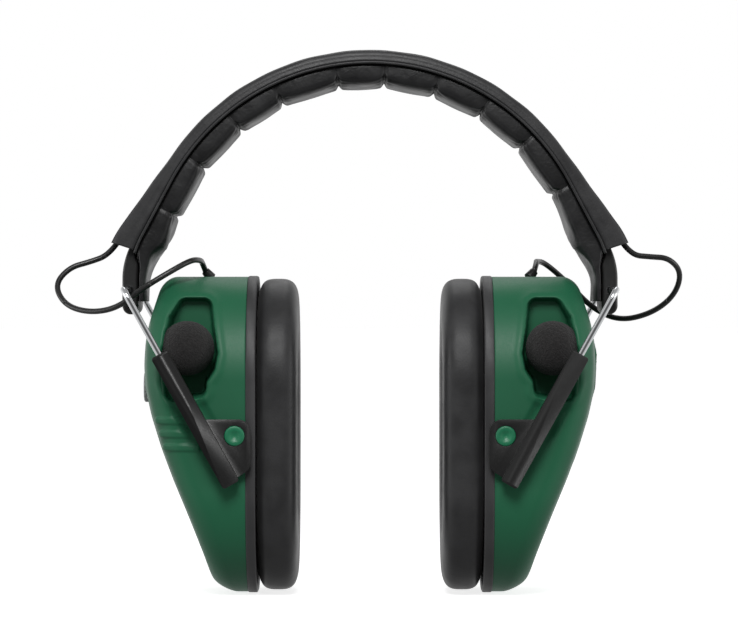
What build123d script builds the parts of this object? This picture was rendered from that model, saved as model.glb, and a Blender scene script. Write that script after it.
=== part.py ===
from build123d import *
import math
import os

# Earmuff hearing protector with a folding, padded headband and two electronic cups.
# Origin: underside of the head pad at the crown. +X is the wearer's side shown on the right,
# +Y is the back, +Z is up. Every size is in millimetres.

# ---- headband ----
pad_inner_radius = 71.5      # inside of the head pad, which is the crown circle
pad_depth = 6.3              # thickness of the head pad at the crown
pad_below_jacket = 0.1
core_thickness = 1.4
core_width = 30.0
core_arc_half = 62.0         # degrees from the top to where the band runs straight
core_straight = 21.2         # straight run below the crown arc
core_bend_radius = 32.4      # bend that turns the band's end upright
lug_thickness = 6.5
lug_above_pivot = 9.0
lug_below_pivot = 8.5
pivot_below_bend = 4.0       # the yoke pivot, under the end of the bend
jacket_width = 38.0
jacket_outer_offset = 3.5    # jacket's skin, outside the middle of the core
jacket_inner_offset = 1.7    # jacket's lining, inside the middle of the core
jacket_flare_from = 54.0     # degrees, where the jacket's outer skin leaves the core
jacket_flare_length = 38.8
jacket_mouth_drop = 6.4      # from the end of the straight down to the mouth's inner lip
slot_clearance = 0.2
pad_width = 36.0
pad_skin = 0.9
pad_arc_half = 72.0
pad_lead_turn = 24.0         # degrees short of upright, where the pad's back leaves the jacket
pad_tip_drop = 4.0           # the pad's tip, under the yoke pivot
pad_tip_slope = 1.0
pad_tip_thickness = 2.4
pad_over_lug = 1.0
soft_gap = 0.35

# ---- yokes and arms ----
wire_radius = 1.1
wire_bend_radius = 4.0
wire_lean = 29.0             # degrees that the legs lean inward
running = 0.05               # radial clearance of a running fit
sleeve_from = 25.3           # from the pivot down to the sleeve's mouth
sleeve_length = 50.8
sleeve_width = 6.1
sleeve_depth = 4.4
sleeve_floor = 3.0
sleeve_corner = 1.0
sleeve_gap = 2.0             # between the sleeve and the cup's side
leg_clearance = 1.1          # under the leg's tip with the sleeve pushed fully up
boss_radius = 5.6
plate_corner = 4.5
plate_thickness = 2.4
plate_gap = 1.2              # between the arm's plate and the cup's side
travel_pin_radius = 3.5

# ---- cups ----
cup_half_width = 41.0
cup_top = -67.3
cup_bottom = -177.7
cup_corner = 36.0
cup_base = 42.6              # where the shell meets the seal plate
shell_wall = 2.4
tilt_x = 46.2                # pivot between the arms and the cup
tilt_z = -122.0
seal_plate_thickness = 3.4
seal_plate_rim = 0.3
cushion_thickness = 14.2
cushion_inset = 0.7
cushion_round = 5.5
cushion_skin = 1.0
ear_half_width = 20.0
ear_half_height = 31.0
ear_corner = 18.0
plate_hole_grow = 5.0

# ---- microphone pocket ----
mic_x = 62.5
mic_from_front = 8.5         # from the cup's front to the middle of the foam ball
mic_z = -93.0
mic_ball_radius = 9.4
mic_capsule_radius = 3.0
pocket_half_x = 10.2
pocket_top = 17.5
pocket_bottom = 15.5
pocket_wall = 2.0
pocket_corner = 6.0
pocket_floor_gap = 0.5

# ---- inside the cups ----
baffle_gap = 1.4             # from the shell's rim to the baffle
baffle_thickness = 2.0
baffle_clearance = 0.3
speaker_radius = 19.0
speaker_depth = 3.5
magnet_radius = 10.0
magnet_depth = 4.0
speaker_hole_radius = 16.0
screw_radius = 1.1
screw_head_radius = 2.2
screw_head_height = 1.1
screw_length = 6.0
boss_outer_radius = 3.2
boss_inset = 6.0             # from the cup's side to the middle of a screw
boss_rows = (-95.0, -150.0)
board_from_baffle = 9.4
board_thickness = 1.6
board_half_width = 24.0
board_top = -116.0
board_bottom = -151.0
standoff_radius = 1.9
standoff_y = 21.2
standoff_rows = (-118.5, -148.0)

# ---- volume knob and its potentiometer ----
knob_z = -106.0
knob_radius = 5.4
knob_face = 79.5
knob_height = 5.6
knob_gap = 0.35
knob_edge = 0.8
knob_grooves = 18
knob_groove_radius = 0.35
knob_shaft_radius = 1.5
knob_shaft_length = 6.0
pot_half = 5.0
pot_depth = 5.0

# ---- batteries and their door ----
cell_radius = 5.25
cell_length = 44.5
cell_pitch = 10.8
cell_button_radius = 1.9
cell_button_height = 1.0
cells_top = -89.9
tray_wall = 1.2
tray_clearance = 0.2
contact_thickness = 0.5
contact_half = 4.0
door_top = -90.5
door_half_width = 12.2
door_gap = 0.3
door_thickness = 2.0
hinge_z = -139.0
hinge_inset = 1.9
hinge_barrel = 1.7
hinge_pin = 0.9
hinge_ear_reach = 3.0
hinge_ear_radius = 2.2
rib_rows = (-94.7, -97.1, -99.5)
rib_radius = 0.6
rib_inset = 0.35             # from the door's face in to the middle of a rib
rib_end = 3.0                # from the door's side to a rib's end

# ---- cable and its glands ----
cable_radius = 1.0
cable_channel_radius = 1.2
cable_run_offset = 1.8       # the cable's middle, outside the middle of the core
cable_leaves_at = 53.8       # degrees, where it runs straight to the jacket's mouth
cable_straight = 39.3
gland_x = 56.0
gland_stem_radius = 1.8
gland_flange_radius = 2.9
gland_flange = 1.4
gland_seat_depth = 1.7       # from the cup's top down to the flange's seat
gland_reach = 3.2
gland_nose_radius = 1.9
gland_tip_radius = 1.5
gland_aim = (0.84, 0.54)     # how much the nose leans sideways and towards the front or back
cable_lead = 5.5              # straight run of the cable at each end of a loop
gland_lean = 45.0            # degrees that the gland's nose leans from upright

# ---- audio socket ----
socket_x = 58.0
socket_z = -137.0
socket_radius = 4.0
socket_bore = 1.8
socket_length = 14.0

# ---- places that follow from the sizes above ----
core_radius = pad_inner_radius + pad_depth + pad_below_jacket + jacket_inner_offset
jacket_outer_radius = core_radius + jacket_outer_offset
cable_run_radius = core_radius + cable_run_offset
wire_half_span = cup_half_width + sleeve_gap + sleeve_depth / 2
wire_leg = sleeve_from + sleeve_length - sleeve_floor - leg_clearance
boss_y = cup_half_width - boss_inset
mic_y = mic_from_front - cup_half_width
gland_seat = cup_top - gland_seat_depth
crown_z = -pad_inner_radius
cup_mid_z = (cup_top + cup_bottom) / 2
cup_half_height = (cup_top - cup_bottom) / 2
seal_face = cup_base - seal_plate_thickness - cushion_thickness


def flat(x, z):
    """A point of the middle plane, from its sideways place and its height."""
    return Vector(x, 0, z)


def slab(face, low, high):
    """A face drawn in the middle plane, given its thickness from low to high in Y."""
    return extrude(face.moved(Location((0, low, 0))), amount=high - low, dir=(0, 1, 0))


def block(x_range, y_range, z_range):
    """A plain box between two values on each axis."""
    size = [high - low for low, high in (x_range, y_range, z_range)]
    middle = [(high + low) / 2 for low, high in (x_range, y_range, z_range)]
    return Pos(*middle) * Box(*size)


def rod_x(x_from, x_to, y, z, radius):
    """A round bar along X."""
    turned = Location(((x_from + x_to) / 2, y, z), (0, 90, 0))
    return turned * Cylinder(radius, abs(x_to - x_from))


def rod_y(y_from, y_to, x, z, radius):
    """A round bar along Y."""
    turned = Location((x, (y_from + y_to) / 2, z), (90, 0, 0))
    return turned * Cylinder(radius, abs(y_to - y_from))


def oval(x_from, x_to, half_y, half_z, corner, z_middle):
    """A rounded rectangle in the plane of the ear, given its thickness along X."""
    plane = Plane(origin=(x_from, 0, z_middle), x_dir=(0, 1, 0), z_dir=(1, 0, 0))
    return extrude(plane * RectangleRounded(2 * half_y, 2 * half_z, corner), amount=x_to - x_from)


def write(node, shape):
    """Save one sub-part under its own name."""
    export_step(shape, os.path.join("parts", node + ".step"))


def write_pair(node, shape):
    """Save the right-hand piece as modelled and the left-hand one mirrored."""
    write(node + "_right", shape)
    write(node + "_left", mirror(shape, about=Plane.YZ))


# ---- the band's run: crown arc, straight, bend and upright end ----
arc_half = math.radians(core_arc_half)
run_dir = flat(math.cos(arc_half), -math.sin(arc_half))
run_out = flat(math.sin(arc_half), math.cos(arc_half))
crown = flat(0, crown_z)
bend_centre = crown + run_out * (core_radius - core_bend_radius) + run_dir * core_straight
bend_middle = math.radians(90 + core_arc_half) / 2
pivot_x = bend_centre.X + core_bend_radius
pivot_z = bend_centre.Z - pivot_below_bend


def band_points(offset):
    """Corner points of the right half of the run, at an offset outward from the core's middle."""
    reach = core_bend_radius + offset
    arc_end = crown + run_out * (core_radius + offset)
    run_end = arc_end + run_dir * core_straight
    bend_mid = bend_centre + flat(math.sin(bend_middle), math.cos(bend_middle)) * reach
    bend_end = bend_centre + flat(1, 0) * reach
    return arc_end, run_end, bend_mid, bend_end


def band_line(offset, end_z):
    """The whole run from the left tip to the right tip, as a list of edges."""
    right = band_points(offset) + (flat(pivot_x + offset, end_z),)
    left = [flat(-point.X, point.Z) for point in right]
    top = crown + flat(0, core_radius + offset)
    return [
        Line(left[4], left[3]),
        ThreePointArc(left[3], left[2], left[1]),
        Line(left[1], left[0]),
        ThreePointArc(left[0], top, right[0]),
        Line(right[0], right[1]),
        ThreePointArc(right[1], right[2], right[3]),
        Line(right[3], right[4]),
    ]


def band_strip(inner, outer, end_z):
    """A strip of the band between two offsets."""
    ends = [
        Line(flat(-pivot_x - outer, end_z), flat(-pivot_x - inner, end_z)),
        Line(flat(pivot_x + outer, end_z), flat(pivot_x + inner, end_z)),
    ]
    return make_face(band_line(inner, end_z) + band_line(outer, end_z) + ends)


# ---- spring core with a lug at each end ----
half_core = core_thickness / 2
lug_top = pivot_z + lug_above_pivot
lug_bottom = pivot_z - lug_below_pivot
core = slab(band_strip(-half_core, half_core, lug_bottom + 1), -core_width / 2, core_width / 2)
for side in (1, -1):
    lug = block(
        (side * pivot_x - lug_thickness / 2, side * pivot_x + lug_thickness / 2),
        (-core_width / 2, core_width / 2),
        (lug_bottom, lug_top),
    )
    lug = fillet(lug.edges().filter_by(Axis.Y), lug_thickness / 2 - 0.4)
    core += lug
for side in (1, -1):
    core -= rod_y(-core_width, core_width, side * pivot_x, pivot_z, wire_radius + running)
write("band_core", core)

# ---- vinyl jacket round the core, flaring at each mouth for the cable ----
flare = math.radians(jacket_flare_from)
flare_start = crown + flat(math.sin(flare), math.cos(flare)) * jacket_outer_radius
flare_end = flare_start + flat(math.cos(flare), -math.sin(flare)) * jacket_flare_length
lining = band_points(-jacket_inner_offset)
mouth_angle = math.asin((lining[1].Z - jacket_mouth_drop - bend_centre.Z)
                        / (core_bend_radius - jacket_inner_offset))
mouth_low = bend_centre + flat(math.cos(mouth_angle), math.sin(mouth_angle)) * (
    core_bend_radius - jacket_inner_offset)
mouth_half = (mouth_angle + math.radians(90 - core_arc_half)) / 2
mouth_mid = bend_centre + flat(math.cos(mouth_half), math.sin(mouth_half)) * (
    core_bend_radius - jacket_inner_offset)
right_rim = [flare_start, flare_end, mouth_low, mouth_mid, lining[1], lining[0]]
left_rim = [flat(-point.X, point.Z) for point in right_rim]
rim = []
for points in (right_rim, left_rim):
    rim += [
        Line(points[0], points[1]),
        Line(points[1], points[2]),
        ThreePointArc(points[2], points[3], points[4]),
        Line(points[4], points[5]),
    ]
rim.append(ThreePointArc(left_rim[0], crown + flat(0, jacket_outer_radius), right_rim[0]))
rim.append(ThreePointArc(left_rim[5], crown + flat(0, core_radius - jacket_inner_offset),
                         right_rim[5]))
jacket = slab(make_face(rim), -jacket_width / 2, jacket_width / 2)
slot_half = half_core + slot_clearance
jacket -= slab(band_strip(-slot_half, slot_half, lug_bottom),
               -core_width / 2 - slot_clearance, core_width / 2 + slot_clearance)

# ---- the cable's run inside the jacket ----
leave = math.radians(cable_leaves_at)
leave_dir = flat(math.cos(leave), -math.sin(leave))
leave_right = crown + flat(math.sin(leave), math.cos(leave)) * cable_run_radius
exit_right = leave_right + leave_dir * cable_straight


def cable_run(radius, extra):
    """The cable's run through the jacket, or its channel, which runs on past each mouth."""
    ends = [leave_right, exit_right + leave_dir * extra]
    left = [flat(-point.X, point.Z) for point in ends]
    path = Wire([
        Line(left[1], left[0]),
        ThreePointArc(left[0], crown + flat(0, cable_run_radius), ends[0]),
        Line(ends[0], ends[1]),
    ])
    start = Plane(origin=left[1], z_dir=path % 0)
    return sweep(start * Circle(radius), path=path)


jacket -= cable_run(cable_channel_radius, 3.0)
write("band_jacket", jacket)
write("cable_in_band", cable_run(cable_radius, 0))


# ---- head pad ----
def pad_section(skin):
    """The pad's outline in the middle plane, moved inward by its skin."""
    offset = -jacket_inner_offset - pad_below_jacket - skin
    outer = band_points(offset)
    inner_radius = pad_inner_radius + skin
    turn = math.radians(pad_arc_half)
    arc_end = crown + flat(math.sin(turn), math.cos(turn)) * inner_radius
    tip_x = pivot_x - lug_thickness / 2 - soft_gap - skin
    tip_z = pivot_z - pad_tip_drop + 2 * skin
    shoulder = flat(tip_x, lug_top + pad_over_lug)
    tip = flat(tip_x, tip_z)
    tip_in = flat(tip_x - pad_tip_thickness + skin, tip_z + pad_tip_slope)
    back = math.radians(pad_lead_turn)
    lead = bend_centre + flat(math.cos(back), math.sin(back)) * (core_bend_radius + offset)
    half_lead = (back + math.radians(90 - core_arc_half)) / 2
    mid_lead = bend_centre + flat(math.cos(half_lead), math.sin(half_lead)) * (
        core_bend_radius + offset)
    right = [outer[0], outer[1], mid_lead, lead, shoulder, tip, tip_in, arc_end]
    left = [flat(-point.X, point.Z) for point in right]
    edges = []
    for points in (right, left):
        edges += [
            Line(points[0], points[1]),
            ThreePointArc(points[1], points[2], points[3]),
            Line(points[3], points[4]),
            Line(points[4], points[5]),
            Line(points[5], points[6]),
            Line(points[6], points[7]),
        ]
    edges.append(ThreePointArc(left[0], crown + flat(0, core_radius + offset), right[0]))
    edges.append(ThreePointArc(left[7], flat(0, skin), right[7]))
    return make_face(edges)


pad_half = pad_width / 2
pad_foam = slab(pad_section(pad_skin), -pad_half + pad_skin, pad_half - pad_skin)
write("head_pad_cover", slab(pad_section(0), -pad_half, pad_half) - pad_foam)
write("head_pad_foam", pad_foam)

# ---- wire yokes: a crossbar through the lug and a leg down each side of the cup ----
lean = math.radians(wire_lean)
leg_dir = flat(-math.sin(lean), -math.cos(lean))
leg_side = flat(-math.cos(lean), math.sin(lean))
pivot = flat(pivot_x, pivot_z)


def leg_point(down, across=0.0):
    """A point in the plane of the leg: down it from the pivot, and across towards the cup."""
    return pivot + leg_dir * down + leg_side * across


front = Vector(0, -wire_half_span, 0)
yoke_path = FilletPolyline(
    leg_point(wire_leg) + front,
    pivot + front,
    pivot - front,
    leg_point(wire_leg) - front,
    radius=wire_bend_radius,
)
yoke_start = Plane(origin=yoke_path @ 0, z_dir=yoke_path % 0)
write_pair("wire_yoke", sweep(yoke_start * Circle(wire_radius), path=yoke_path))

# ---- arms: a sleeve that slides on the leg, with a boss plate for the cup's pivot ----
sleeve_to = sleeve_from + sleeve_length
sleeve_half = sleeve_width / 2
sleeve_outline = FilletPolyline(
    leg_point(sleeve_from, -sleeve_half),
    leg_point(sleeve_from, sleeve_half),
    leg_point(sleeve_to, sleeve_half),
    leg_point(sleeve_to, -sleeve_half),
    radius=sleeve_corner,
    close=True,
)
plate_top = leg_point((pivot_z - tilt_z - boss_radius) / math.cos(lean))
plate_outline = FilletPolyline(
    plate_top,
    flat(tilt_x - boss_radius, tilt_z + boss_radius),
    flat(tilt_x - boss_radius, tilt_z - 2 * boss_radius),
    leg_point(sleeve_to - sleeve_corner),
    radius=[sleeve_corner, plate_corner, plate_corner, sleeve_corner],
    close=True,
)
plate_face = -cup_half_width - plate_gap
sleeve_middle = -wire_half_span
arm = slab(make_face(sleeve_outline), sleeve_middle - sleeve_depth / 2,
           sleeve_middle + sleeve_depth / 2)
arm += slab(make_face(plate_outline), plate_face - plate_thickness, plate_face)
bore = Plane(origin=leg_point(sleeve_from - 1.0) + front, z_dir=leg_dir)
bore_depth = sleeve_length - sleeve_floor + 1.0
arm -= extrude(bore * Circle(wire_radius + running), amount=bore_depth)
arm -= rod_y(plate_face - plate_thickness - 1, plate_face + 1, tilt_x, tilt_z,
             travel_pin_radius + running)
for where, arm_piece in (("front", arm), ("rear", mirror(arm, about=Plane.XZ))):
    write_pair("arm_" + where, arm_piece)

# ---- cup shell ----
shell_outline = [
    (cup_base, cup_top, 0.0),
    (68.6, cup_top - 1.6, 5.0),
    (75.6, -79.0, 14.0),
    (79.2, -94.0, 12.0),
    (78.7, -106.0, 14.0),
    (71.9, -130.0, 40.0),
    (58.0, -164.0, 30.0),
    (52.6, cup_bottom, 4.0),
    (cup_base, cup_bottom, 0.0),
]


def profile_x(z):
    """Sideways reach of the shell's outer face at a height, between its outline's corners."""
    for (x_high, z_high, _), (x_low, z_low, _) in zip(shell_outline, shell_outline[1:]):
        if z_low <= z <= z_high and z_low < z_high:
            return x_high + (x_low - x_high) * (z_high - z) / (z_high - z_low)
    return cup_base


rounded = FilletPolyline(
    *[flat(x, z) for x, z, _ in shell_outline],
    radius=[r for _, _, r in shell_outline[1:-1]],
)
shell_section = make_face([rounded, Line(flat(cup_base, cup_bottom), flat(cup_base, cup_top))])


def cup_solid(inset):
    """The cup's solid shape, from its side section and its ear-plane outline, moved inward."""
    section = offset(shell_section, -inset) if inset else shell_section
    half_y = cup_half_width - inset
    side_on = slab(section, -half_y, half_y)
    end_on = oval(cup_base - 1, 90, half_y, cup_half_height - inset, cup_corner - inset, cup_mid_z)
    return side_on & end_on


shell_solid = cup_solid(0)
mouth = oval(cup_base - 1, cup_base + 2 * shell_wall, cup_half_width - shell_wall,
             cup_half_height - shell_wall, cup_corner - shell_wall, cup_mid_z)
shell = shell_solid - cup_solid(shell_wall) - mouth

# microphone pocket, open to the front
pocket_outline = FilletPolyline(
    flat(mic_x - pocket_half_x, mic_z - pocket_bottom),
    flat(mic_x + pocket_half_x, mic_z - pocket_bottom),
    flat(mic_x + pocket_half_x, mic_z + pocket_top),
    flat(mic_x - pocket_half_x, mic_z + pocket_top),
    radius=pocket_corner,
    close=True,
)
pocket_face = make_face(pocket_outline)
pocket_floor = mic_y + mic_ball_radius + pocket_floor_gap
front_face = -cup_half_width - 1
pocket_body = slab(offset(pocket_face, pocket_wall), front_face, pocket_floor + pocket_wall)
shell += pocket_body & shell_solid
shell -= slab(pocket_face, front_face, pocket_floor)

# screw bosses, pivot pins and the gland's seat
baffle_from = cup_base + baffle_gap
baffle_back = baffle_from + baffle_thickness
for y in (boss_y, -boss_y):
    for z in boss_rows:
        shell += rod_x(baffle_back, baffle_back + screw_length, y, z, boss_outer_radius)
        shell -= rod_x(baffle_back - 1, baffle_back + screw_length - 1, y, z,
                       screw_radius + running)
pin_tip = cup_half_width + plate_gap + plate_thickness
for side in (1, -1):
    shell += rod_y(side * (cup_half_width - shell_wall / 2), side * pin_tip, tilt_x, tilt_z,
                   travel_pin_radius)
shell -= Pos(gland_x, 0, cup_top - 5) * Cylinder(gland_stem_radius + running, 20)
shell -= Pos(gland_x, 0, gland_seat + 5) * Cylinder(gland_flange_radius + running, 10)

# ---- volume knob in a round recess of the left cup ----
recess_radius = knob_radius + knob_gap
recess_floor = knob_face - knob_height - knob_gap
pot_front = recess_floor - shell_wall
knob_cup = rod_x(pot_front, knob_face + 5, 0, knob_z, recess_radius + shell_wall)
left_shell = shell + (knob_cup & shell_solid)
left_shell -= rod_x(recess_floor, knob_face + 5, 0, knob_z, recess_radius)
left_shell -= rod_x(pot_front - 1, recess_floor + 1, 0, knob_z, knob_shaft_radius + 4 * running)
knob = rod_x(recess_floor + knob_gap, knob_face, 0, knob_z, knob_radius)
knob = fillet(knob.faces().sort_by(Axis.X)[-1].edges(), knob_edge)
for step in range(knob_grooves):
    turn = 2 * math.pi * step / knob_grooves
    knob -= rod_x(recess_floor + 1.5, knob_face + 1, knob_radius * math.cos(turn),
                  knob_z + knob_radius * math.sin(turn), knob_groove_radius)
knob += rod_x(recess_floor + knob_gap - knob_shaft_length, recess_floor + knob_gap + 1, 0,
              knob_z, knob_shaft_radius)
pot = block((pot_front - pot_depth, pot_front), (-pot_half, pot_half),
            (knob_z - pot_half, knob_z + pot_half))
pot -= rod_x(recess_floor + knob_gap - knob_shaft_length - running, pot_front + 1, 0, knob_z,
             knob_shaft_radius + running)
write("volume_knob", mirror(knob, about=Plane.YZ))
write("potentiometer", mirror(pot, about=Plane.YZ))

# ---- audio socket in the back of the left cup ----
socket_seat = rod_y(cup_half_width - 3 * shell_wall, cup_half_width, socket_x, socket_z,
                    socket_radius + shell_wall)
left_shell += socket_seat & shell_solid
left_shell -= rod_y(cup_half_width - socket_length, cup_half_width + 1, socket_x, socket_z,
                    socket_radius + running)
socket = rod_y(cup_half_width - socket_length, cup_half_width, socket_x, socket_z, socket_radius)
socket -= rod_y(cup_half_width - socket_length + 1, cup_half_width + 1, socket_x, socket_z,
                socket_bore)
write("audio_socket", mirror(socket, about=Plane.YZ))
write("cup_shell_left", mirror(left_shell, about=Plane.YZ))

# ---- battery door in the outer face of the right cup, hinged at its lower end ----
hinge_x = profile_x(hinge_z) - hinge_inset
door_window = block((60, 90), (-door_half_width - door_gap, door_half_width + door_gap),
                    (hinge_z - hinge_barrel - 2 * door_gap, door_top + door_gap))
right_shell = shell - door_window
for side in (1, -1):
    ear_from = side * (door_half_width + door_gap)
    ear = rod_y(ear_from, ear_from + side * hinge_ear_reach, hinge_x, hinge_z,
                hinge_ear_radius)
    right_shell += ear & shell_solid
    right_shell -= rod_y(0, ear_from + side * (hinge_ear_reach - door_gap - running), hinge_x,
                         hinge_z, hinge_pin + running)
write("cup_shell_right", right_shell)
door_skin = slab(shell_section, -door_half_width, door_half_width)
door_skin -= slab(offset(shell_section, -door_thickness), -door_half_width - 1,
                  door_half_width + 1)
door = door_skin & block((60, 90), (-door_half_width, door_half_width), (hinge_z, door_top))
door += rod_y(-door_half_width, door_half_width, hinge_x, hinge_z, hinge_barrel)
pin_reach = door_half_width + hinge_ear_reach - 2 * door_gap
door += rod_y(-pin_reach, pin_reach, hinge_x, hinge_z, hinge_pin)
for z in rib_rows:
    door += rod_y(rib_end - door_half_width, door_half_width - rib_end,
                  profile_x(z) - rib_inset, z, rib_radius)
write("battery_door", door)

# ---- seal plate and cushion of each ear ----
plate_from = cup_base - seal_plate_thickness
hole_y = ear_half_width + plate_hole_grow
hole_z = ear_half_height + plate_hole_grow
hole_corner = ear_corner + plate_hole_grow
seal_plate = oval(plate_from, cup_base, cup_half_width + seal_plate_rim,
                  cup_half_height + seal_plate_rim, cup_corner + seal_plate_rim, cup_mid_z)
seal_plate -= oval(plate_from - 1, cup_base + 1, hole_y, hole_z, hole_corner, cup_mid_z)
write_pair("seal_plate", seal_plate)


def cushion_ring(inset, back):
    """The cushion's ring with its rounded ear side, moved inward by a skin."""
    face = seal_face + inset
    ring = oval(face, back, cup_half_width - cushion_inset - inset,
                cup_half_height - cushion_inset - inset, cup_corner - cushion_inset - inset,
                cup_mid_z)
    ring -= oval(face - 1, back + 1, ear_half_width + inset, ear_half_height + inset,
                 ear_corner + inset, cup_mid_z)
    return fillet(ring.faces().sort_by(Axis.X)[0].edges(), cushion_round - inset)


write_pair("ear_cushion", cushion_ring(0, plate_from) - cushion_ring(cushion_skin, plate_from + 1))
write_pair("cushion_foam", cushion_ring(cushion_skin + running, plate_from - running))

# ---- baffle, speaker and acoustic foam ----
half_y = cup_half_width - shell_wall - baffle_clearance
half_z = cup_half_height - shell_wall - baffle_clearance
baffle = oval(baffle_from, baffle_back, half_y, half_z, cup_corner - shell_wall, cup_mid_z)
baffle -= rod_x(baffle_from - 1, baffle_back + 1, 0, cup_mid_z, speaker_hole_radius)
posts_to = baffle_back + board_from_baffle
screws = []
for y in (boss_y, -boss_y):
    for z in boss_rows:
        baffle -= rod_x(baffle_from - 1, baffle_back + 1, y, z, screw_radius + running)
        screw = rod_x(baffle_from - screw_head_height, baffle_from, y, z, screw_head_radius)
        screw += rod_x(baffle_from - 0.5, baffle_back + screw_length - 1.5, y, z, screw_radius)
        slot = block((baffle_from - 2, baffle_from - screw_head_height / 2),
                     (y - screw_head_radius, y + screw_head_radius), (z - 0.3, z + 0.3))
        screws.append(screw - slot)
write_pair("cup_screws", Compound(children=screws))

left_baffle = baffle
for y in (standoff_y, -standoff_y):
    for z in standoff_rows:
        left_baffle += rod_x(baffle_back - 1, posts_to, y, z, standoff_radius)
write("speaker_baffle_left", mirror(left_baffle, about=Plane.YZ))

tray_post_y = 7.0
tray_post_z = -95.0
right_baffle = baffle
for y in (standoff_y, -standoff_y):
    right_baffle += rod_x(baffle_back - 1, posts_to, y, standoff_rows[0], standoff_radius)
for y in (tray_post_y, -tray_post_y):
    right_baffle += rod_x(baffle_back - 1, posts_to, y, tray_post_z, standoff_radius)
write("speaker_baffle_right", right_baffle)

speaker = rod_x(baffle_back, baffle_back + speaker_depth, 0, cup_mid_z, speaker_radius)
speaker += rod_x(baffle_back + speaker_depth, baffle_back + speaker_depth + magnet_depth, 0,
                 cup_mid_z, magnet_radius)
speaker -= rod_x(baffle_back - 1, baffle_back + 2.0, 0, cup_mid_z, speaker_hole_radius)
write_pair("speaker", speaker)

liner_gap = 0.3
write_pair("acoustic_foam", oval(plate_from, baffle_from - running, hole_y - liner_gap,
                                 hole_z - liner_gap, hole_corner - liner_gap, cup_mid_z))

# ---- circuit board of the left cup ----
board = block((posts_to, posts_to + board_thickness), (-board_half_width, board_half_width),
              (board_bottom, board_top))
chip_base = posts_to + board_thickness
for y, z, half_wide, half_high, tall in (
    (-4, -130, 5, 5, 1.6),
    (12, -126, 3, 2.2, 1.4),
    (12, -136, 2.2, 4, 2.2),
    (-16, -128, 2.5, 3.5, 3.0),
):
    board += block((chip_base - 0.5, chip_base + tall), (y - half_wide, y + half_wide),
                   (z - half_high, z + half_high))
write("circuit_board", mirror(board, about=Plane.YZ))

# ---- battery tray, contacts and cells of the right cup ----
cell_x = posts_to + tray_wall + tray_clearance + cell_radius
cells_bottom = cells_top - cell_length
tray_top = cells_top + contact_thickness
tray_bottom = cells_bottom - contact_thickness
tray_half = cell_pitch / 2 + cell_radius + tray_clearance
tray_lip = cell_x + 1.5
tray = block((posts_to, tray_lip), (-tray_half - tray_wall, tray_half + tray_wall),
             (tray_bottom - tray_wall, tray_top + tray_wall))
tray -= block((posts_to + tray_wall, tray_lip + 1), (-tray_half, tray_half),
              (tray_bottom, tray_top))
tray += block((posts_to, posts_to + tray_wall),
              (-standoff_y - standoff_radius, standoff_y + standoff_radius),
              (standoff_rows[0] - 4, standoff_rows[0] + 4))
write("battery_tray", tray)
contacts = []
cells = []
for side in (1, -1):
    y = side * cell_pitch / 2
    for z in (tray_top, cells_bottom):
        contacts.append(block((posts_to + tray_wall, cell_x + 1),
                              (y - contact_half, y + contact_half), (z - contact_thickness, z)))
    can_length = cell_length - cell_button_height
    cell = Pos(cell_x, y, cells_bottom + can_length / 2) * Cylinder(cell_radius, can_length)
    cell += Pos(cell_x, y, cells_top - cell_button_height) * Cylinder(
        cell_button_radius, 2 * cell_button_height)
    cells.append(cell)
write("battery_contacts", Compound(children=contacts))
write("battery_cells", Compound(children=cells))

# ---- microphone behind its foam ball, in each pocket ----
capsule_tip = mic_y + 1.0
capsule = rod_y(capsule_tip, pocket_floor, mic_x, mic_z, mic_capsule_radius)
write_pair("mic_capsule", capsule)
windscreen = Pos(mic_x, mic_y, mic_z) * Sphere(mic_ball_radius)
windscreen -= rod_y(capsule_tip - running, pocket_floor + 1, mic_x, mic_z,
                    mic_capsule_radius + running)
write_pair("mic_windscreen", windscreen)

# ---- cable glands: a stem in the shell's top, a flange and a nose leaning to the cable ----
nose_lean = math.radians(gland_lean)
nose_foot = gland_seat + gland_flange
gland_stem = Pos(gland_x, 0, gland_seat - 1) * Cylinder(gland_stem_radius, 4)
gland_stem += Pos(gland_x, 0, gland_seat + gland_flange / 2) * Cylinder(
    gland_flange_radius, gland_flange)


def gland_end(side, back):
    """Direction of the gland's nose: up, outward from the head and towards the cable."""
    aside = math.sin(nose_lean)
    return Vector(gland_aim[0] * side * aside, gland_aim[1] * back * aside, math.cos(nose_lean))


def loop_path(points):
    """The cable's route as straight runs joined by arcs as large as the runs allow."""
    radii = []
    for before, corner, after in zip(points, points[1:], points[2:]):
        turn = (corner - before).get_angle(after - corner)
        shorter = min((corner - before).length, (after - corner).length)
        radii.append(0.45 * shorter / math.tan(math.radians(turn) / 2))
    print("cable arcs, mm:", ", ".join(f"{radius:.1f}" for radius in radii))
    return FilletPolyline(*points, radius=radii)


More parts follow.
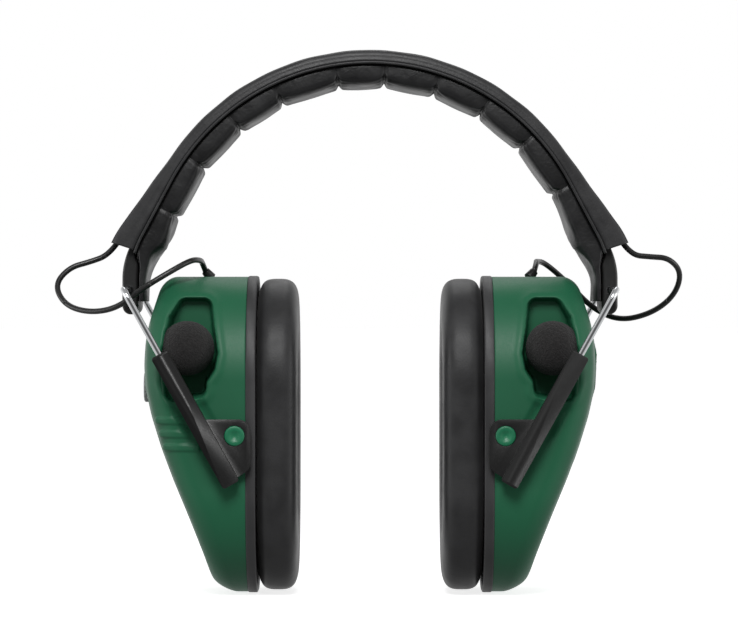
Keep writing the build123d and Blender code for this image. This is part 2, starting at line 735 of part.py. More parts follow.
loop_routes = {
    "left": [
        (-98.5, -0.5, -62.0),
        (-105.8, -2.0, -64.0),
        (-110.7, -6.0, -70.2),
        (-106.6, -11.0, -77.4),
        (-97.5, -17.0, -80.0),
        (-87.5, -22.5, -78.4),
        (-79.0, -25.0, -71.6),
        (-72.0, -20.5, -64.4),
        (-65.6, -12.0, -60.6),
    ],
    "right": [
        (98.5, 0.5, -60.2),
        (105.6, 1.5, -60.6),
        (110.4, 5.5, -65.8),
        (108.2, 11.5, -74.0),
        (100.5, 18.0, -80.2),
        (89.5, 23.5, -82.8),
        (80.0, 25.5, -79.0),
        (74.0, 21.5, -70.6),
        (67.0, 11.5, -61.6),
    ],
}
for name, side, back in (("left", -1, -1), ("right", 1, 1)):
    toward = gland_end(side, back)
    base = Vector(side * gland_x, 0, nose_foot)
    nose_tip = base + toward * gland_reach
    nose = Plane(origin=base, z_dir=toward) * Pos(0, 0, gland_reach / 2) * Cone(
        gland_nose_radius, gland_tip_radius, gland_reach)
    gland = (gland_stem if side > 0 else mirror(gland_stem, about=Plane.YZ)) + nose
    write("cable_gland_" + name, gland)
    route = [flat(side * exit_right.X, exit_right.Z)]
    route.append(flat(side * (exit_right.X + leave_dir.X * cable_lead),
                      exit_right.Z + leave_dir.Z * cable_lead))
    route += [Vector(*point) for point in loop_routes[name]]
    route.append(nose_tip + toward * cable_lead)
    route.append(nose_tip)
    path = loop_path(route)
    loop = sweep(Plane(origin=path @ 0, z_dir=path % 0) * Circle(cable_radius), path=path)
    ideal = math.pi * cable_radius**2 * path.length
    print("cable loop", name, f"length {path.length:.1f}, volume {loop.volume:.1f} of {ideal:.1f}")
    print("  from", route[0], "to", nose_tip)
    write("cable_loop_" + name, loop)
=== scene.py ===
# %% [markdown]
# Earmuff hearing protector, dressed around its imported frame. The frame holds every rigid part at its
# real place. This lesson adds the surfaces that a moulder, an upholsterer and a cable maker would make.

import bmesh
import bpy
import numpy as np
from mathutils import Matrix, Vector


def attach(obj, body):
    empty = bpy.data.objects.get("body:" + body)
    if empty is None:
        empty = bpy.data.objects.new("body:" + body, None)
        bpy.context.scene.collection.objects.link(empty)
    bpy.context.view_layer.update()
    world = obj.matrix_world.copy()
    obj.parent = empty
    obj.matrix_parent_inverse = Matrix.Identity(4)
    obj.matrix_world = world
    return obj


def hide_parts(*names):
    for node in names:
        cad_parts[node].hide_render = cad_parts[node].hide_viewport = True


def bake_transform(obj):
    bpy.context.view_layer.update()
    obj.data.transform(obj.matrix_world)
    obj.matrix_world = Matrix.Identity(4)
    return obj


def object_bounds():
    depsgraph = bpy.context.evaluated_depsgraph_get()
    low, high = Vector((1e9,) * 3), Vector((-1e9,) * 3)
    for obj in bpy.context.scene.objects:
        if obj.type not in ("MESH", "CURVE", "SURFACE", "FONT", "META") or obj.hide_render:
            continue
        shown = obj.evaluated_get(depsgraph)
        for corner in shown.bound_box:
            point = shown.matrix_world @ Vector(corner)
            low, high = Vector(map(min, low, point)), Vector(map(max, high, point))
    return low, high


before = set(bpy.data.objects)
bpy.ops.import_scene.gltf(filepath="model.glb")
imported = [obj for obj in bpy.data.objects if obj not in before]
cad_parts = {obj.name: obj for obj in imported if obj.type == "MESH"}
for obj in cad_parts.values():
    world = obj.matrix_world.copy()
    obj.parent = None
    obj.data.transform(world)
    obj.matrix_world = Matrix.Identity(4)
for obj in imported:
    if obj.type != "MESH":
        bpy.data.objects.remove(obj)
cad_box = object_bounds()
MM = 0.001
SIDES = {"left": -1, "right": 1}

# %% [markdown]
# The camera stands level, far away and with a long lens: the cups then show their front faces and
# almost nothing of their tops. The lens follows from similar triangles: f = sensor * away / width.

# %% Camera
CAMERA_AWAY = 1.300
CAMERA_HEIGHT = -0.0825
CAMERA_SIDE = -0.00035
VIEW_WIDTH = 0.2601          # metres across the view at the headband's plane
SENSOR = 36.0


def into_scene(name, data):
    """A new object that shows the given data, linked to the scene."""
    made = bpy.data.objects.new(name, data)
    bpy.context.scene.collection.objects.link(made)
    return made


camera_data = bpy.data.cameras.new("camera")
camera_data.sensor_width = SENSOR
camera_data.lens = SENSOR * CAMERA_AWAY / VIEW_WIDTH
camera = into_scene("camera", camera_data)
camera.location = (CAMERA_SIDE, -CAMERA_AWAY, CAMERA_HEIGHT)
camera.rotation_euler = (np.pi / 2, 0, 0)
bpy.context.scene.camera = camera
print("lens:", round(camera_data.lens, 1), "mm")

# %% [markdown]
# A black product on white needs broad soft lights: one high in front, and one at each side that
# draws a pale line down the edge of every dark tube. The floor and the sky stay near white.


# %% Lights and sky
def soft_light(name, place, aim, size, watts):
    """A square area light at place that shines at aim."""
    data = bpy.data.lights.new(name, "AREA")
    data.size = size
    data.energy = watts
    lamp = into_scene(name, data)
    lamp.location = place
    lamp.rotation_euler = (Vector(aim) - Vector(place)).to_track_quat("-Z", "Y").to_euler()


MIDDLE = (0, 0, -0.09)
LIGHTS = {                   # place and size in metres, power in watts
    "key": ((-0.06, -1.0, 0.75), 0.50, 11),
    "left_edge": ((-1.0, -0.25, 0.05), 0.40, 1.6),
    "right_edge": ((1.0, -0.25, 0.05), 0.40, 1.6),
    "back_top": ((0.0, 0.8, 0.9), 0.6, 2),
}
for light_name, (light_place, light_size, watts) in LIGHTS.items():
    soft_light(light_name, light_place, MIDDLE, light_size, watts)
sky = bpy.data.worlds.new("sky")
sky.use_nodes = True
bpy.context.scene.world = sky
bpy.context.scene.view_settings.view_transform = "Standard"

# %% [markdown]
# Colours are written as a painter would note them, in sRGB hex, and one function turns them to the
# linear values that the shaders work in. One other function adds a node with its settings and links.


# %% Colour and node helpers
NOISE_LOW, NOISE_HIGH = 0.3, 0.7      # nearly all of a noise texture lies between these
RAMP_LOW, RAMP_HIGH = 0.35, 0.65


def linear(hex_colour):
    """sRGB hex to linear: below 0.04 divide by 12.92, above it raise to the power 2.4."""
    value = np.array([int(hex_colour[i : i + 2], 16) for i in (1, 3, 5)]) / 255
    low = value / 12.92
    high = ((value + 0.055) / 1.055) ** 2.4
    return (*np.where(value <= 0.04045, low, high), 1.0)


def add(tree, kind, inputs=None, **settings):
    """Add a node, set its properties, then set or link each named or numbered input."""
    node = tree.nodes.new(kind)
    for key, value in settings.items():
        setattr(node, key, value)
    for key, value in (inputs or {}).items():
        if isinstance(value, bpy.types.NodeSocket):
            tree.links.new(value, node.inputs[key])
        else:
            node.inputs[key].default_value = value
    return node


def finish_of(name, roughness, metallic=0.0, ior=1.5, **extra):
    """A new material with one Principled shader; returns the material, its tree and the shader."""
    made = bpy.data.materials.new(name)
    made.use_nodes = True
    shader = made.node_tree.nodes["Principled BSDF"]
    shader.inputs["Roughness"].default_value = roughness
    shader.inputs["Metallic"].default_value = metallic
    shader.inputs["IOR"].default_value = ior
    for key, value in extra.items():
        shader.inputs[key.replace("_", " ")].default_value = value
    return made, made.node_tree, shader


def mottle(tree, place, size_mm, dark, light, detail=3.0):
    """Noise of a real size in millimetres, turned into a blend of two colours."""
    noise = add(tree, "ShaderNodeTexNoise", {"Vector": place, "Scale": 1 / (size_mm * MM),
                                             "Detail": detail})
    ramp = add(tree, "ShaderNodeValToRGB", {"Fac": noise.outputs["Fac"]})
    for stop, position, colour in zip(ramp.color_ramp.elements, (RAMP_LOW, RAMP_HIGH), (dark, light)):
        stop.position = position
        stop.color = linear(colour)
    return noise, ramp


def object_place(tree):
    """The place of a point on its own piece, in metres."""
    return add(tree, "ShaderNodeTexCoord").outputs["Object"]


def vary_roughness(tree, shader, noise, low, high):
    """Roughness that goes from low to high with the noise: low + (high - low) * (n - 0.3) / 0.4."""
    spread = add(tree, "ShaderNodeMapRange", {"Value": noise, "From Min": NOISE_LOW,
                                              "From Max": NOISE_HIGH, "To Min": low, "To Max": high})
    tree.links.new(spread.outputs["Result"], shader.inputs["Roughness"])


def relief(tree, shader, height, depth_mm, strength=1.0, below=None):
    """Bump of a real depth in millimetres; returns its normal for another bump to build on."""
    inputs = {"Height": height, "Distance": depth_mm * MM, "Strength": strength}
    if below is not None:
        inputs["Normal"] = below
    bump = add(tree, "ShaderNodeBump", inputs)
    tree.links.new(bump.outputs["Normal"], shader.inputs["Normal"])
    return bump.outputs["Normal"]


# %% [markdown]
# The sky is pure white where it is seen directly, as paper behind a product is, and dimmer where it
# only lights. What the surfaces mirror is a studio: dark towards the camera and bright at both sides,
# which leaves flat faces black and draws a white line down each side of every wire and edge.

# %% Sky
SKY_LIGHT, SKY_DARK, SKY_BRIGHT = 0.26, 0.10, 0.95
TOWARDS_CAMERA, TOWARDS_SIDE = -0.92, -0.45   # y of the mirrored direction at dark and at bright
NEAR_LEVEL, NEAR_UPRIGHT, UPPER_SHARE = 0.1, 0.8, 0.4
sky_ray = add(sky.node_tree, "ShaderNodeLightPath")
sky_direction = add(sky.node_tree, "ShaderNodeSeparateXYZ",
                    {"Vector": add(sky.node_tree, "ShaderNodeTexCoord").outputs["Generated"]})
mirrored_sky = add(sky.node_tree, "ShaderNodeMapRange",
                   {"Value": sky_direction.outputs["Y"], "From Min": TOWARDS_CAMERA,
                    "From Max": TOWARDS_SIDE, "To Min": SKY_DARK, "To Max": SKY_BRIGHT})
away_from_level = add(sky.node_tree, "ShaderNodeMath", {0: sky_direction.outputs["Z"]},
                      operation="ABSOLUTE")
upper_sky = add(sky.node_tree, "ShaderNodeMapRange",
                {"Value": away_from_level.outputs["Value"], "From Min": NEAR_LEVEL,
                 "From Max": NEAR_UPRIGHT, "To Min": 1.0, "To Max": UPPER_SHARE})
both_ways = add(sky.node_tree, "ShaderNodeMath",
                {0: mirrored_sky.outputs["Result"], 1: upper_sky.outputs["Result"]},
                operation="MULTIPLY")
unseen = add(sky.node_tree, "ShaderNodeMix", {"Factor": sky_ray.outputs["Is Glossy Ray"],
                                              "A": SKY_LIGHT, "B": both_ways.outputs["Value"]})
seen = add(sky.node_tree, "ShaderNodeMix", {"Factor": sky_ray.outputs["Is Camera Ray"],
                                            "A": unseen.outputs["Result"], "B": 1.0})
sky_shader = sky.node_tree.nodes["Background"]
sky_shader.inputs["Color"].default_value = (1, 1, 1, 1)
sky.node_tree.links.new(seen.outputs["Result"], sky_shader.inputs["Strength"])

# %% [markdown]
# Moulded plastics differ in their grain. The cups are ABS from a finely etched mould, so they take a
# broad satin sheen. The arms, lugs and plates are glass-filled nylon: darker, drier and more grainy.


# %% Moulded plastics
def moulded(name, dark, light, roughness, grain_mm, grain_depth, patch_mm=18.0, **extra):
    """Moulded plastic: colour drifts over centimetres, and the mould's etched grain catches light."""
    made, tree, shader = finish_of(name, roughness, **extra)
    place = object_place(tree)
    _, colour = mottle(tree, place, patch_mm, dark, light)
    tree.links.new(colour.outputs["Color"], shader.inputs["Base Color"])
    grain = add(tree, "ShaderNodeTexNoise", {"Vector": place, "Scale": 1 / (grain_mm * MM),
                                             "Detail": 4.0, "Roughness": 0.6})
    vary_roughness(tree, shader, grain.outputs["Fac"], roughness - 0.06, roughness + 0.08)
    relief(tree, shader, grain.outputs["Fac"], grain_depth, 0.6)
    return made


green_abs = moulded("satin_green_abs", "#1f6143", "#216546", 0.47, 0.5, 0.04, 30.0, ior=1.4)
green_pin = moulded("green_abs_pin", "#146b48", "#1b7a54", 0.4, 0.5, 0.03, ior=1.53)
black_nylon = moulded("black_glass_filled_nylon", "#171717", "#1e1e1e", 0.40, 0.4, 0.05)
grey_nylon = moulded("charcoal_nylon_plate", "#303031", "#3a3a3b", 0.5, 0.4, 0.05)
silver_abs = moulded("silver_grey_abs", "#8d9190", "#a3a6a5", 0.35, 0.4, 0.03)
print("moulded finishes: 5")

# %% [markdown]
# The headband and the cushions are covered with calendered vinyl. Rolling presses a leather-like
# pebble into it, a millimetre or so across, and handling polishes the tops of the pebbles.


# %% Vinyl
def vinyl(name, dark, light, roughness, pebble_mm, pebble_depth, crease_depth=0.35):
    """Calendered vinyl: cell-shaped pebbles for grain, stretched noise for soft creases."""
    made, tree, shader = finish_of(name, roughness, ior=1.4, Sheen_Weight=0.04, Sheen_Roughness=0.4)
    place = object_place(tree)
    pebble = add(tree, "ShaderNodeTexVoronoi", {"Vector": place, "Scale": 1 / (pebble_mm * MM)})
    wear, colour = mottle(tree, place, 9.0, dark, light)
    tree.links.new(colour.outputs["Color"], shader.inputs["Base Color"])
    vary_roughness(tree, shader, wear.outputs["Fac"], roughness - 0.05, roughness + 0.08)
    creases = add(tree, "ShaderNodeTexNoise", {"Vector": place, "Scale": 1 / (5.0 * MM),
                                               "Detail": 3.0, "Distortion": 0.8})
    soft = relief(tree, shader, creases.outputs["Fac"], crease_depth, 0.5)
    relief(tree, shader, pebble.outputs["Distance"], pebble_depth, 0.5, below=soft)
    return made


jacket_vinyl = vinyl("black_jacket_vinyl", "#2b2b2c", "#343435", 0.42, 0.9, 0.06, 0.2)
pad_vinyl = vinyl("black_pad_vinyl", "#1a1a1b", "#242425", 0.4, 0.9, 0.05, 0.45)
cushion_vinyl = vinyl("charcoal_cushion_vinyl", "#2a2a2b", "#333334", 0.46, 0.8, 0.04, 0.12)
print("vinyl finishes: 3")

# %% [markdown]
# Open-cell foam scatters light in its pores and looks like dark felt. The yoke is bright drawn wire:
# its roughness is stretched along the wire by the die. The cable's jacket is smooth soft PVC.


# %% Foam, wire, cable and the metals inside
def open_foam(name, dark, light, pore_mm):
    """Open-cell foam: round pores as Voronoi cells, deep enough to break up the light."""
    made, tree, shader = finish_of(name, 0.95, Sheen_Weight=0.08, Sheen_Roughness=0.6)
    place = object_place(tree)
    pores = add(tree, "ShaderNodeTexVoronoi", {"Vector": place, "Scale": 1 / (pore_mm * MM)})
    fuzz, colour = mottle(tree, place, pore_mm * 1.5, dark, light, 5.0)
    tree.links.new(colour.outputs["Color"], shader.inputs["Base Color"])
    rough = relief(tree, shader, fuzz.outputs["Fac"], 0.35, 0.8)
    relief(tree, shader, pores.outputs["Distance"], 0.3, 0.9, below=rough)
    return made


def drawn_metal(name, hex_colour, roughness, line_mm=0.25):
    """Drawn or turned metal: fine scratches as stretched noise in the roughness and the bump."""
    made, tree, shader = finish_of(name, roughness, metallic=1.0)
    place = object_place(tree)
    lines = add(tree, "ShaderNodeTexNoise", {"Vector": place, "Scale": 1 / (line_mm * MM),
                                             "Detail": 2.0})
    shader.inputs["Base Color"].default_value = linear(hex_colour)
    vary_roughness(tree, shader, lines.outputs["Fac"], roughness * 0.7, roughness * 1.4)
    relief(tree, shader, lines.outputs["Fac"], 0.01, 0.4)
    return made


windscreen_foam = open_foam("black_windscreen_foam", "#100f0f", "#222020", 0.55)
liner_foam = open_foam("charcoal_liner_foam", "#1c1c1c", "#323232", 0.9)
bright_wire = drawn_metal("bright_drawn_wire", "#e4e6e8", 0.16)
screw_steel = drawn_metal("zinc_plated_steel", "#b9bcc0", 0.3)
contact_metal = drawn_metal("nickel_plated_brass", "#c9b27c", 0.28)
speaker_steel = moulded("painted_speaker_steel", "#2a2a2c", "#343436", 0.4, 0.5, 0.02)
board_green = moulded("solder_masked_board", "#0f4a2a", "#14603a", 0.3, 1.2, 0.03)
cell_wrap = moulded("cell_wrapper", "#1d2f4d", "#27406a", 0.32, 0.8, 0.02)
cable_pvc = moulded("black_cable_pvc", "#151515", "#1f1f1f", 0.33, 0.5, 0.02, 12.0)
print("materials:", len(bpy.data.materials))

# %% [markdown]
# Most pieces below are grids: a section is carried along a path, and the whole grid is worked out as
# one array. A small builder turns such a grid into a closed mesh with its faces outward.


# %% Mesh builder
def grid_piece(name, points, material, closed_rows=False, caps=True, smooth=True):
    """A mesh from points[row, column, xyz]. Columns always join round; rows join if closed_rows.
    Otherwise each end row is closed with one face, or with none where the row shrinks to a point."""
    rows, columns, _ = points.shape
    last = rows if closed_rows else rows - 1
    row, column = np.meshgrid(np.arange(last), np.arange(columns), indexing="ij")
    next_row, next_column = (row + 1) % rows, (column + 1) % columns
    quads = np.stack([row * columns + column, row * columns + next_column,
                      next_row * columns + next_column, next_row * columns + column], -1)
    faces = quads.reshape(-1, 4).tolist()
    if caps and not closed_rows:
        faces.append(list(range(columns))[::-1])
        faces.append(list(range((rows - 1) * columns, rows * columns)))
    mesh = bpy.data.meshes.new(name)
    mesh.from_pydata(points.reshape(-1, 3).tolist(), [], faces)
    shape = bmesh.new()
    shape.from_mesh(mesh)
    bmesh.ops.remove_doubles(shape, verts=shape.verts, dist=1e-6)
    bmesh.ops.recalc_face_normals(shape, faces=shape.faces)
    shape.to_mesh(mesh)
    shape.free()
    mesh.shade_smooth() if smooth else mesh.shade_flat()
    mesh.materials.append(material)
    return into_scene(name, mesh)


def shown_mesh(piece):
    """The piece's mesh with its modifiers applied, or the points of a curve."""
    graph = bpy.context.evaluated_depsgraph_get()
    return bpy.data.meshes.new_from_object(piece.evaluated_get(graph))


def power(value, exponent):
    """Signed power: keeps the sign and bends the size, which turns a circle into a squircle."""
    return np.sign(value) * np.abs(value) ** exponent


def smooth_step(low, high, value):
    """0 below low, 1 above high, and 3t^2 - 2t^3 between."""
    t = np.clip((value - low) / (high - low), 0, 1)
    return t * t * (3 - 2 * t)


def mirrored(points, side):
    """The same points for the other cup: x changes sign."""
    return points * np.array([side, 1, 1])


def disc_stack(profile, samples=64):
    """A turned part: rows of (radius, height) spun round its own axis, as [row, column, xyz] with the
    axis along the last place."""
    turn = np.linspace(0, 2 * np.pi, samples, endpoint=False)
    radius, height = np.array(profile, float).T
    return np.stack([radius[:, None] * np.cos(turn), radius[:, None] * np.sin(turn),
                     np.repeat(height[:, None], samples, 1)], -1)


def turned_along_y(profile, x, z, outward, samples=64):
    """The turned part laid along y, pointing to the front (-1) or to the back (1)."""
    spun = disc_stack(profile, samples)
    return np.stack([x + spun[..., 0], outward * spun[..., 2], z + spun[..., 1]], -1)


def cut_away(piece, cutter):
    """Takes the cutter's solid out of the piece and drops the cutter."""
    boolean = piece.modifiers.new("opening", "BOOLEAN")
    boolean.object = cutter
    boolean.operation = "DIFFERENCE"
    boolean.solver = "EXACT"
    mesh = shown_mesh(piece)
    piece.modifiers.clear()
    piece.data = mesh
    bpy.data.objects.remove(cutter)


# %% [markdown]
# Rigid CAD pieces keep their place and size, but a moulding tool leaves no knife edges. A copy of the
# node has its loose triangles merged and its sharp edges rounded, and stands for the node.


# %% Rounded copies of moulded parts
SHARP_EDGE, FLAT_EDGE = np.radians(35), np.radians(2)


def rounded_copy(node, material, width_mm, body):
    """A merged copy of a CAD node with its sharp edges rounded to a width in millimetres."""
    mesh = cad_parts[node].data.copy()
    shape = bmesh.new()
    shape.from_mesh(mesh)
    bmesh.ops.remove_doubles(shape, verts=shape.verts, dist=2e-6)
    bmesh.ops.dissolve_limit(shape, angle_limit=FLAT_EDGE, verts=shape.verts, edges=shape.edges)
    shape.to_mesh(mesh)
    shape.free()
    mesh.materials.clear()
    mesh.materials.append(material)
    mesh.shade_smooth()
    piece = into_scene(node + "_moulded", mesh)
    bevel = piece.modifiers.new("edges", "BEVEL")
    bevel.width = width_mm * MM
    bevel.segments = 3
    bevel.limit_method = "ANGLE"
    bevel.angle_limit = SHARP_EDGE
    bevel.harden_normals = True
    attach(piece, body)
    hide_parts(node)
    return piece


# %% [markdown]
# The headband follows one run: a crown arc, a straight and a bend that turns its end upright. Every
# layer of the band is that run at some offset, so one function gives the run and its outward normal.

# %% The band's run
CROWN_INNER = 71.5
CORE_RADIUS = 79.6
ARC_HALF = np.radians(62.0)
STRAIGHT = 21.2
BEND_RADIUS = 32.4
ARC_LENGTH = CORE_RADIUS * ARC_HALF
BEND_LENGTH = BEND_RADIUS * (np.pi / 2 - ARC_HALF)


def band_run(along, offset, across):
    """Point of the band, in millimetres. along is measured from the crown, offset is outward from the
    core's middle and across is towards the back. The run turns with its length on the arc, keeps its
    heading on the straight, and turns on to upright in the bend."""
    reach = np.abs(along)
    on_arc = np.minimum(reach, ARC_LENGTH)
    on_straight = np.clip(reach - ARC_LENGTH, 0, STRAIGHT)
    on_bend = np.clip(reach - ARC_LENGTH - STRAIGHT, 0, BEND_LENGTH)
    upright = np.maximum(reach - ARC_LENGTH - STRAIGHT - BEND_LENGTH, 0)
    arc_turn = on_arc / CORE_RADIUS
    turn = arc_turn + on_bend / BEND_RADIUS
    x = CORE_RADIUS * np.sin(arc_turn) + on_straight * np.cos(ARC_HALF)
    z = CORE_RADIUS * np.cos(arc_turn) - on_straight * np.sin(ARC_HALF)
    x = x + BEND_RADIUS * (np.sin(turn) - np.sin(arc_turn))
    z = z + BEND_RADIUS * (np.cos(turn) - np.cos(arc_turn)) - upright
    x = (x + offset * np.sin(turn)) * np.sign(along + 1e-9)
    z = z + offset * np.cos(turn) - CROWN_INNER
    x, y, z = np.broadcast_arrays(x, across, z)
    return np.stack([x, y, z], -1)


print("half of the band's run:", round(ARC_LENGTH + STRAIGHT + BEND_LENGTH, 1), "mm")

# %% [markdown]
# Under the jacket lies the spring core, a flat strip that swells into a lug at each end. The swelling
# starts inside the jacket's mouth and is drawn with the same run, so the lug's outer line is one curve
# from the mouth to its rounded foot. The yoke's crossbar passes through a hole near the foot.

# %% Spring core and lugs
CORE_HALF_WIDTH, CORE_HALF_THICKNESS, LUG_OUT, LUG_IN = 15.0, 0.7, 2.4, 3.25
LUG_UPRIGHT = 12.5           # how far the lug goes on past the bend
SWELL_OUT, SWELL_IN = (100, 123), (113, 119)   # where along the run each side swells
PIVOT_X, PIVOT_Z, PIVOT_BORE, BORE_REACH = 84.028, -72.059, 1.2, 20.0
CORE_END = ARC_LENGTH + STRAIGHT + BEND_LENGTH + LUG_UPRIGHT
FOOT_ROUND, FOOT_NARROWS = 3.1, 1.5


def foot_rounding(reach):
    """Share of the half thickness left near the foot: a quarter circle's height, 1 to 0."""
    past = np.clip((reach - CORE_END + FOOT_ROUND) / FOOT_ROUND, 0, 1)
    return np.sqrt(1 - past**2)


core_turn = np.linspace(0, 2 * np.pi, 72, endpoint=False)
core_reach = np.concatenate([np.linspace(0, CORE_END - FOOT_ROUND, 230)[:-1],
                             CORE_END - FOOT_ROUND * (1 - np.sin(np.linspace(0, 1.555, 16)))])
core_along = np.concatenate([-core_reach[:0:-1], core_reach])
along_grid, turn_grid = np.meshgrid(core_along, core_turn, indexing="ij")
reach = np.abs(along_grid)
outward = CORE_HALF_THICKNESS + (LUG_OUT - CORE_HALF_THICKNESS) * smooth_step(*SWELL_OUT, reach)
inward = CORE_HALF_THICKNESS + (LUG_IN - CORE_HALF_THICKNESS) * smooth_step(*SWELL_IN, reach)
middle, half = (outward - inward) / 2, (outward + inward) / 2 * foot_rounding(reach)
core_across = CORE_HALF_WIDTH - FOOT_NARROWS * (1 - foot_rounding(reach))
core_across = core_across * power(np.cos(turn_grid), 0.1)
core_points = band_run(along_grid, middle + half * power(np.sin(turn_grid), 0.3), core_across)
core = grid_piece("spring_core_with_lugs", core_points * MM, black_nylon)
for side in SIDES.values():
    bore = turned_along_y([(PIVOT_BORE, -BORE_REACH), (PIVOT_BORE, BORE_REACH)], side * PIVOT_X,
                          PIVOT_Z, 1, 32)
    cut_away(core, grid_piece("bore_cutter", bore * MM, black_nylon, smooth=False))
core.data.shade_smooth()
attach(core, "headband")
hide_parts("band_core")

# %% [markdown]
# The head pad is one strip of vinyl over foam, sewn across into nine puffed cells with a long plain
# flap at each end. Between two seams the vinyl bulges; at a seam it is pulled in and gathers into
# small pleats. The bulge is puff * sin(pi t)^0.45 for t from seam to seam, and the pleats die away
# from the seam as exp(-(d / reach)^2).

# %% Head pad
PAD_HALF_WIDTH = 18.0
PAD_TOP = -1.1               # offset of the pad's back, against the jacket's lining
SEAM_ANGLES = np.radians([-69.5, -54.0, -39.1, -25.3, -8.8, 3.9, 18.1, 32.2, 46.6, 62.5])
PUFF = 1.9                   # height of a cell over its seams
PAD_END = 131.0              # half of the pad's length along the run
PAD_LIP = 2.2                # the pad's thickness at its tip
PAD_BACK = -LUG_IN - 0.3     # offset of its back beside the lug, with 0.3 of room
FLAP_PLUMP = 0.3             # how much of the puff the plain end flaps take
SEAM_PULL, SEAM_REACH = 0.9, 0.8
PLEAT_DEPTH, PLEAT_PITCH, PLEAT_REACH = 0.32, 3.1, 3.2
FOLD_DEPTH = 0.7


def pad_depth(along):
    """Offset of the pad's inner face: the crown circle as far as 72 degrees, then a taper to the tip."""
    reach = np.abs(along)
    past = np.clip(reach - ARC_LENGTH, 0, STRAIGHT)
    circle = np.sqrt(CROWN_INNER**2 - past**2) - CORE_RADIUS
    taper = smooth_step(ARC_LENGTH + 12, PAD_END - 4, reach)
    return circle * (1 - taper) + (PAD_BACK - PAD_LIP) * taper


def seam_distance(along):
    """Distance to the nearest seam, how far between its two seams each place lies, 0 to 1, and the
    number of its cell. A seam's place along the run is radius times angle."""
    beyond = np.sign(SEAM_ANGLES) * (ARC_LENGTH + CROWN_INNER * (np.abs(SEAM_ANGLES) - ARC_HALF))
    seams = np.where(np.abs(SEAM_ANGLES) <= ARC_HALF, CORE_RADIUS * SEAM_ANGLES, beyond)
    stops = np.concatenate([[-PAD_END - 4], seams, [PAD_END + 4]])
    cell = np.clip(np.searchsorted(stops, along) - 1, 0, len(stops) - 2)
    between = (along - stops[cell]) / (stops[cell + 1] - stops[cell])
    distance = np.min(np.abs(along[:, None] - seams[None, :]), axis=1)
    return distance, between, cell


pad_along = np.linspace(-PAD_END, PAD_END, 900)
pad_round = np.linspace(0, 2 * np.pi, 96, endpoint=False)
near_seam, between, cell = seam_distance(pad_along)
plump = np.where((cell == 0) | (cell == len(SEAM_ANGLES)), FLAP_PLUMP, 1.0)
puff = PUFF * plump * np.abs(np.sin(np.pi * between)) ** 0.45 - 1.0
puff = puff - SEAM_PULL * np.exp(-((near_seam / SEAM_REACH) ** 2))
along_grid, round_grid = np.meshgrid(pad_along, pad_round, indexing="ij")
near_lug = smooth_step(111, 120, np.abs(along_grid))
top = PAD_TOP + (PAD_BACK - PAD_TOP) * near_lug
inner = pad_depth(pad_along)[:, None] - puff[:, None] * (1 - near_lug * 0.85)
inner = np.minimum(inner, top - PAD_LIP)
middle, half = (top + inner) / 2, (top - inner) / 2
width = PAD_HALF_WIDTH - 0.9 + 0.7 * (puff[:, None] / PUFF)
across = width * power(np.cos(round_grid), 0.38)
height = half * np.where(np.sin(round_grid) > 0, power(np.sin(round_grid), 0.2),
                         power(np.sin(round_grid), 0.62))
pleat_wave = np.sin(2 * np.pi * across / PLEAT_PITCH + 5 * np.sin(along_grid / 9.0))
pleats = PLEAT_DEPTH * pleat_wave * np.exp(-((near_seam[:, None] / PLEAT_REACH) ** 2))
on_flap = smooth_step(96, 106, np.abs(along_grid))
flap_folds = FOLD_DEPTH * np.sin(along_grid / 3.4 + across / 5.5) * on_flap
under = (np.sin(round_grid) < 0) * (1 - near_lug * 0.7)
offset = middle + height + (pleats + flap_folds) * under * np.abs(np.sin(round_grid))
head_pad = grid_piece("head_pad_quilted", band_run(along_grid, offset, across) * MM, pad_vinyl)
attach(head_pad, "headband")
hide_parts("head_pad_cover", "head_pad_foam")
print("head pad:", len(head_pad.data.vertices), "points")

# %% [markdown]
# The jacket wraps the spring core and carries the cable in a welt along its crown. Past 54 degrees its
# outer skin leaves the core in a straight line, so that the cable can come out of a wide mouth. A
# groove and a raised bead run along each edge, where the two layers of vinyl are welded. The section
# is a squircle: across = cos(t)^0.16 and height = sin(t)^0.36, with their signs kept.

# %% Jacket
JACKET_HALF_WIDTH = 19.0
JACKET_OUT = 3.5             # offset of the outer skin on the crown
JACKET_IN = -1.0             # offset of the lining
FLARE_FROM = np.radians(54.0)
JACKET_END = 113.0
EDGE_BAND, EDGE_GROOVE, EDGE_LEAN = 0.45, 0.45, 0.75   # how far the edge stands out, in and over
WELT_HEIGHT, WELT_HALF, STITCH_DEPTH, STITCH_AT = 0.45, 3.0, 0.3, 4.6
CREASE_DEPTH = 0.10


def jacket_outer(along):
    """Offset of the outer skin: constant on the crown, then the tangent that leaves it at 54 degrees."""
    reach = np.abs(along)
    turn = np.clip(reach / CORE_RADIUS, FLARE_FROM, ARC_HALF)
    skin = CORE_RADIUS + JACKET_OUT
    on_arc = skin / np.cos(turn - FLARE_FROM) - CORE_RADIUS
    return on_arc + np.tan(ARC_HALF - FLARE_FROM) * np.clip(reach - ARC_LENGTH, 0, 40)


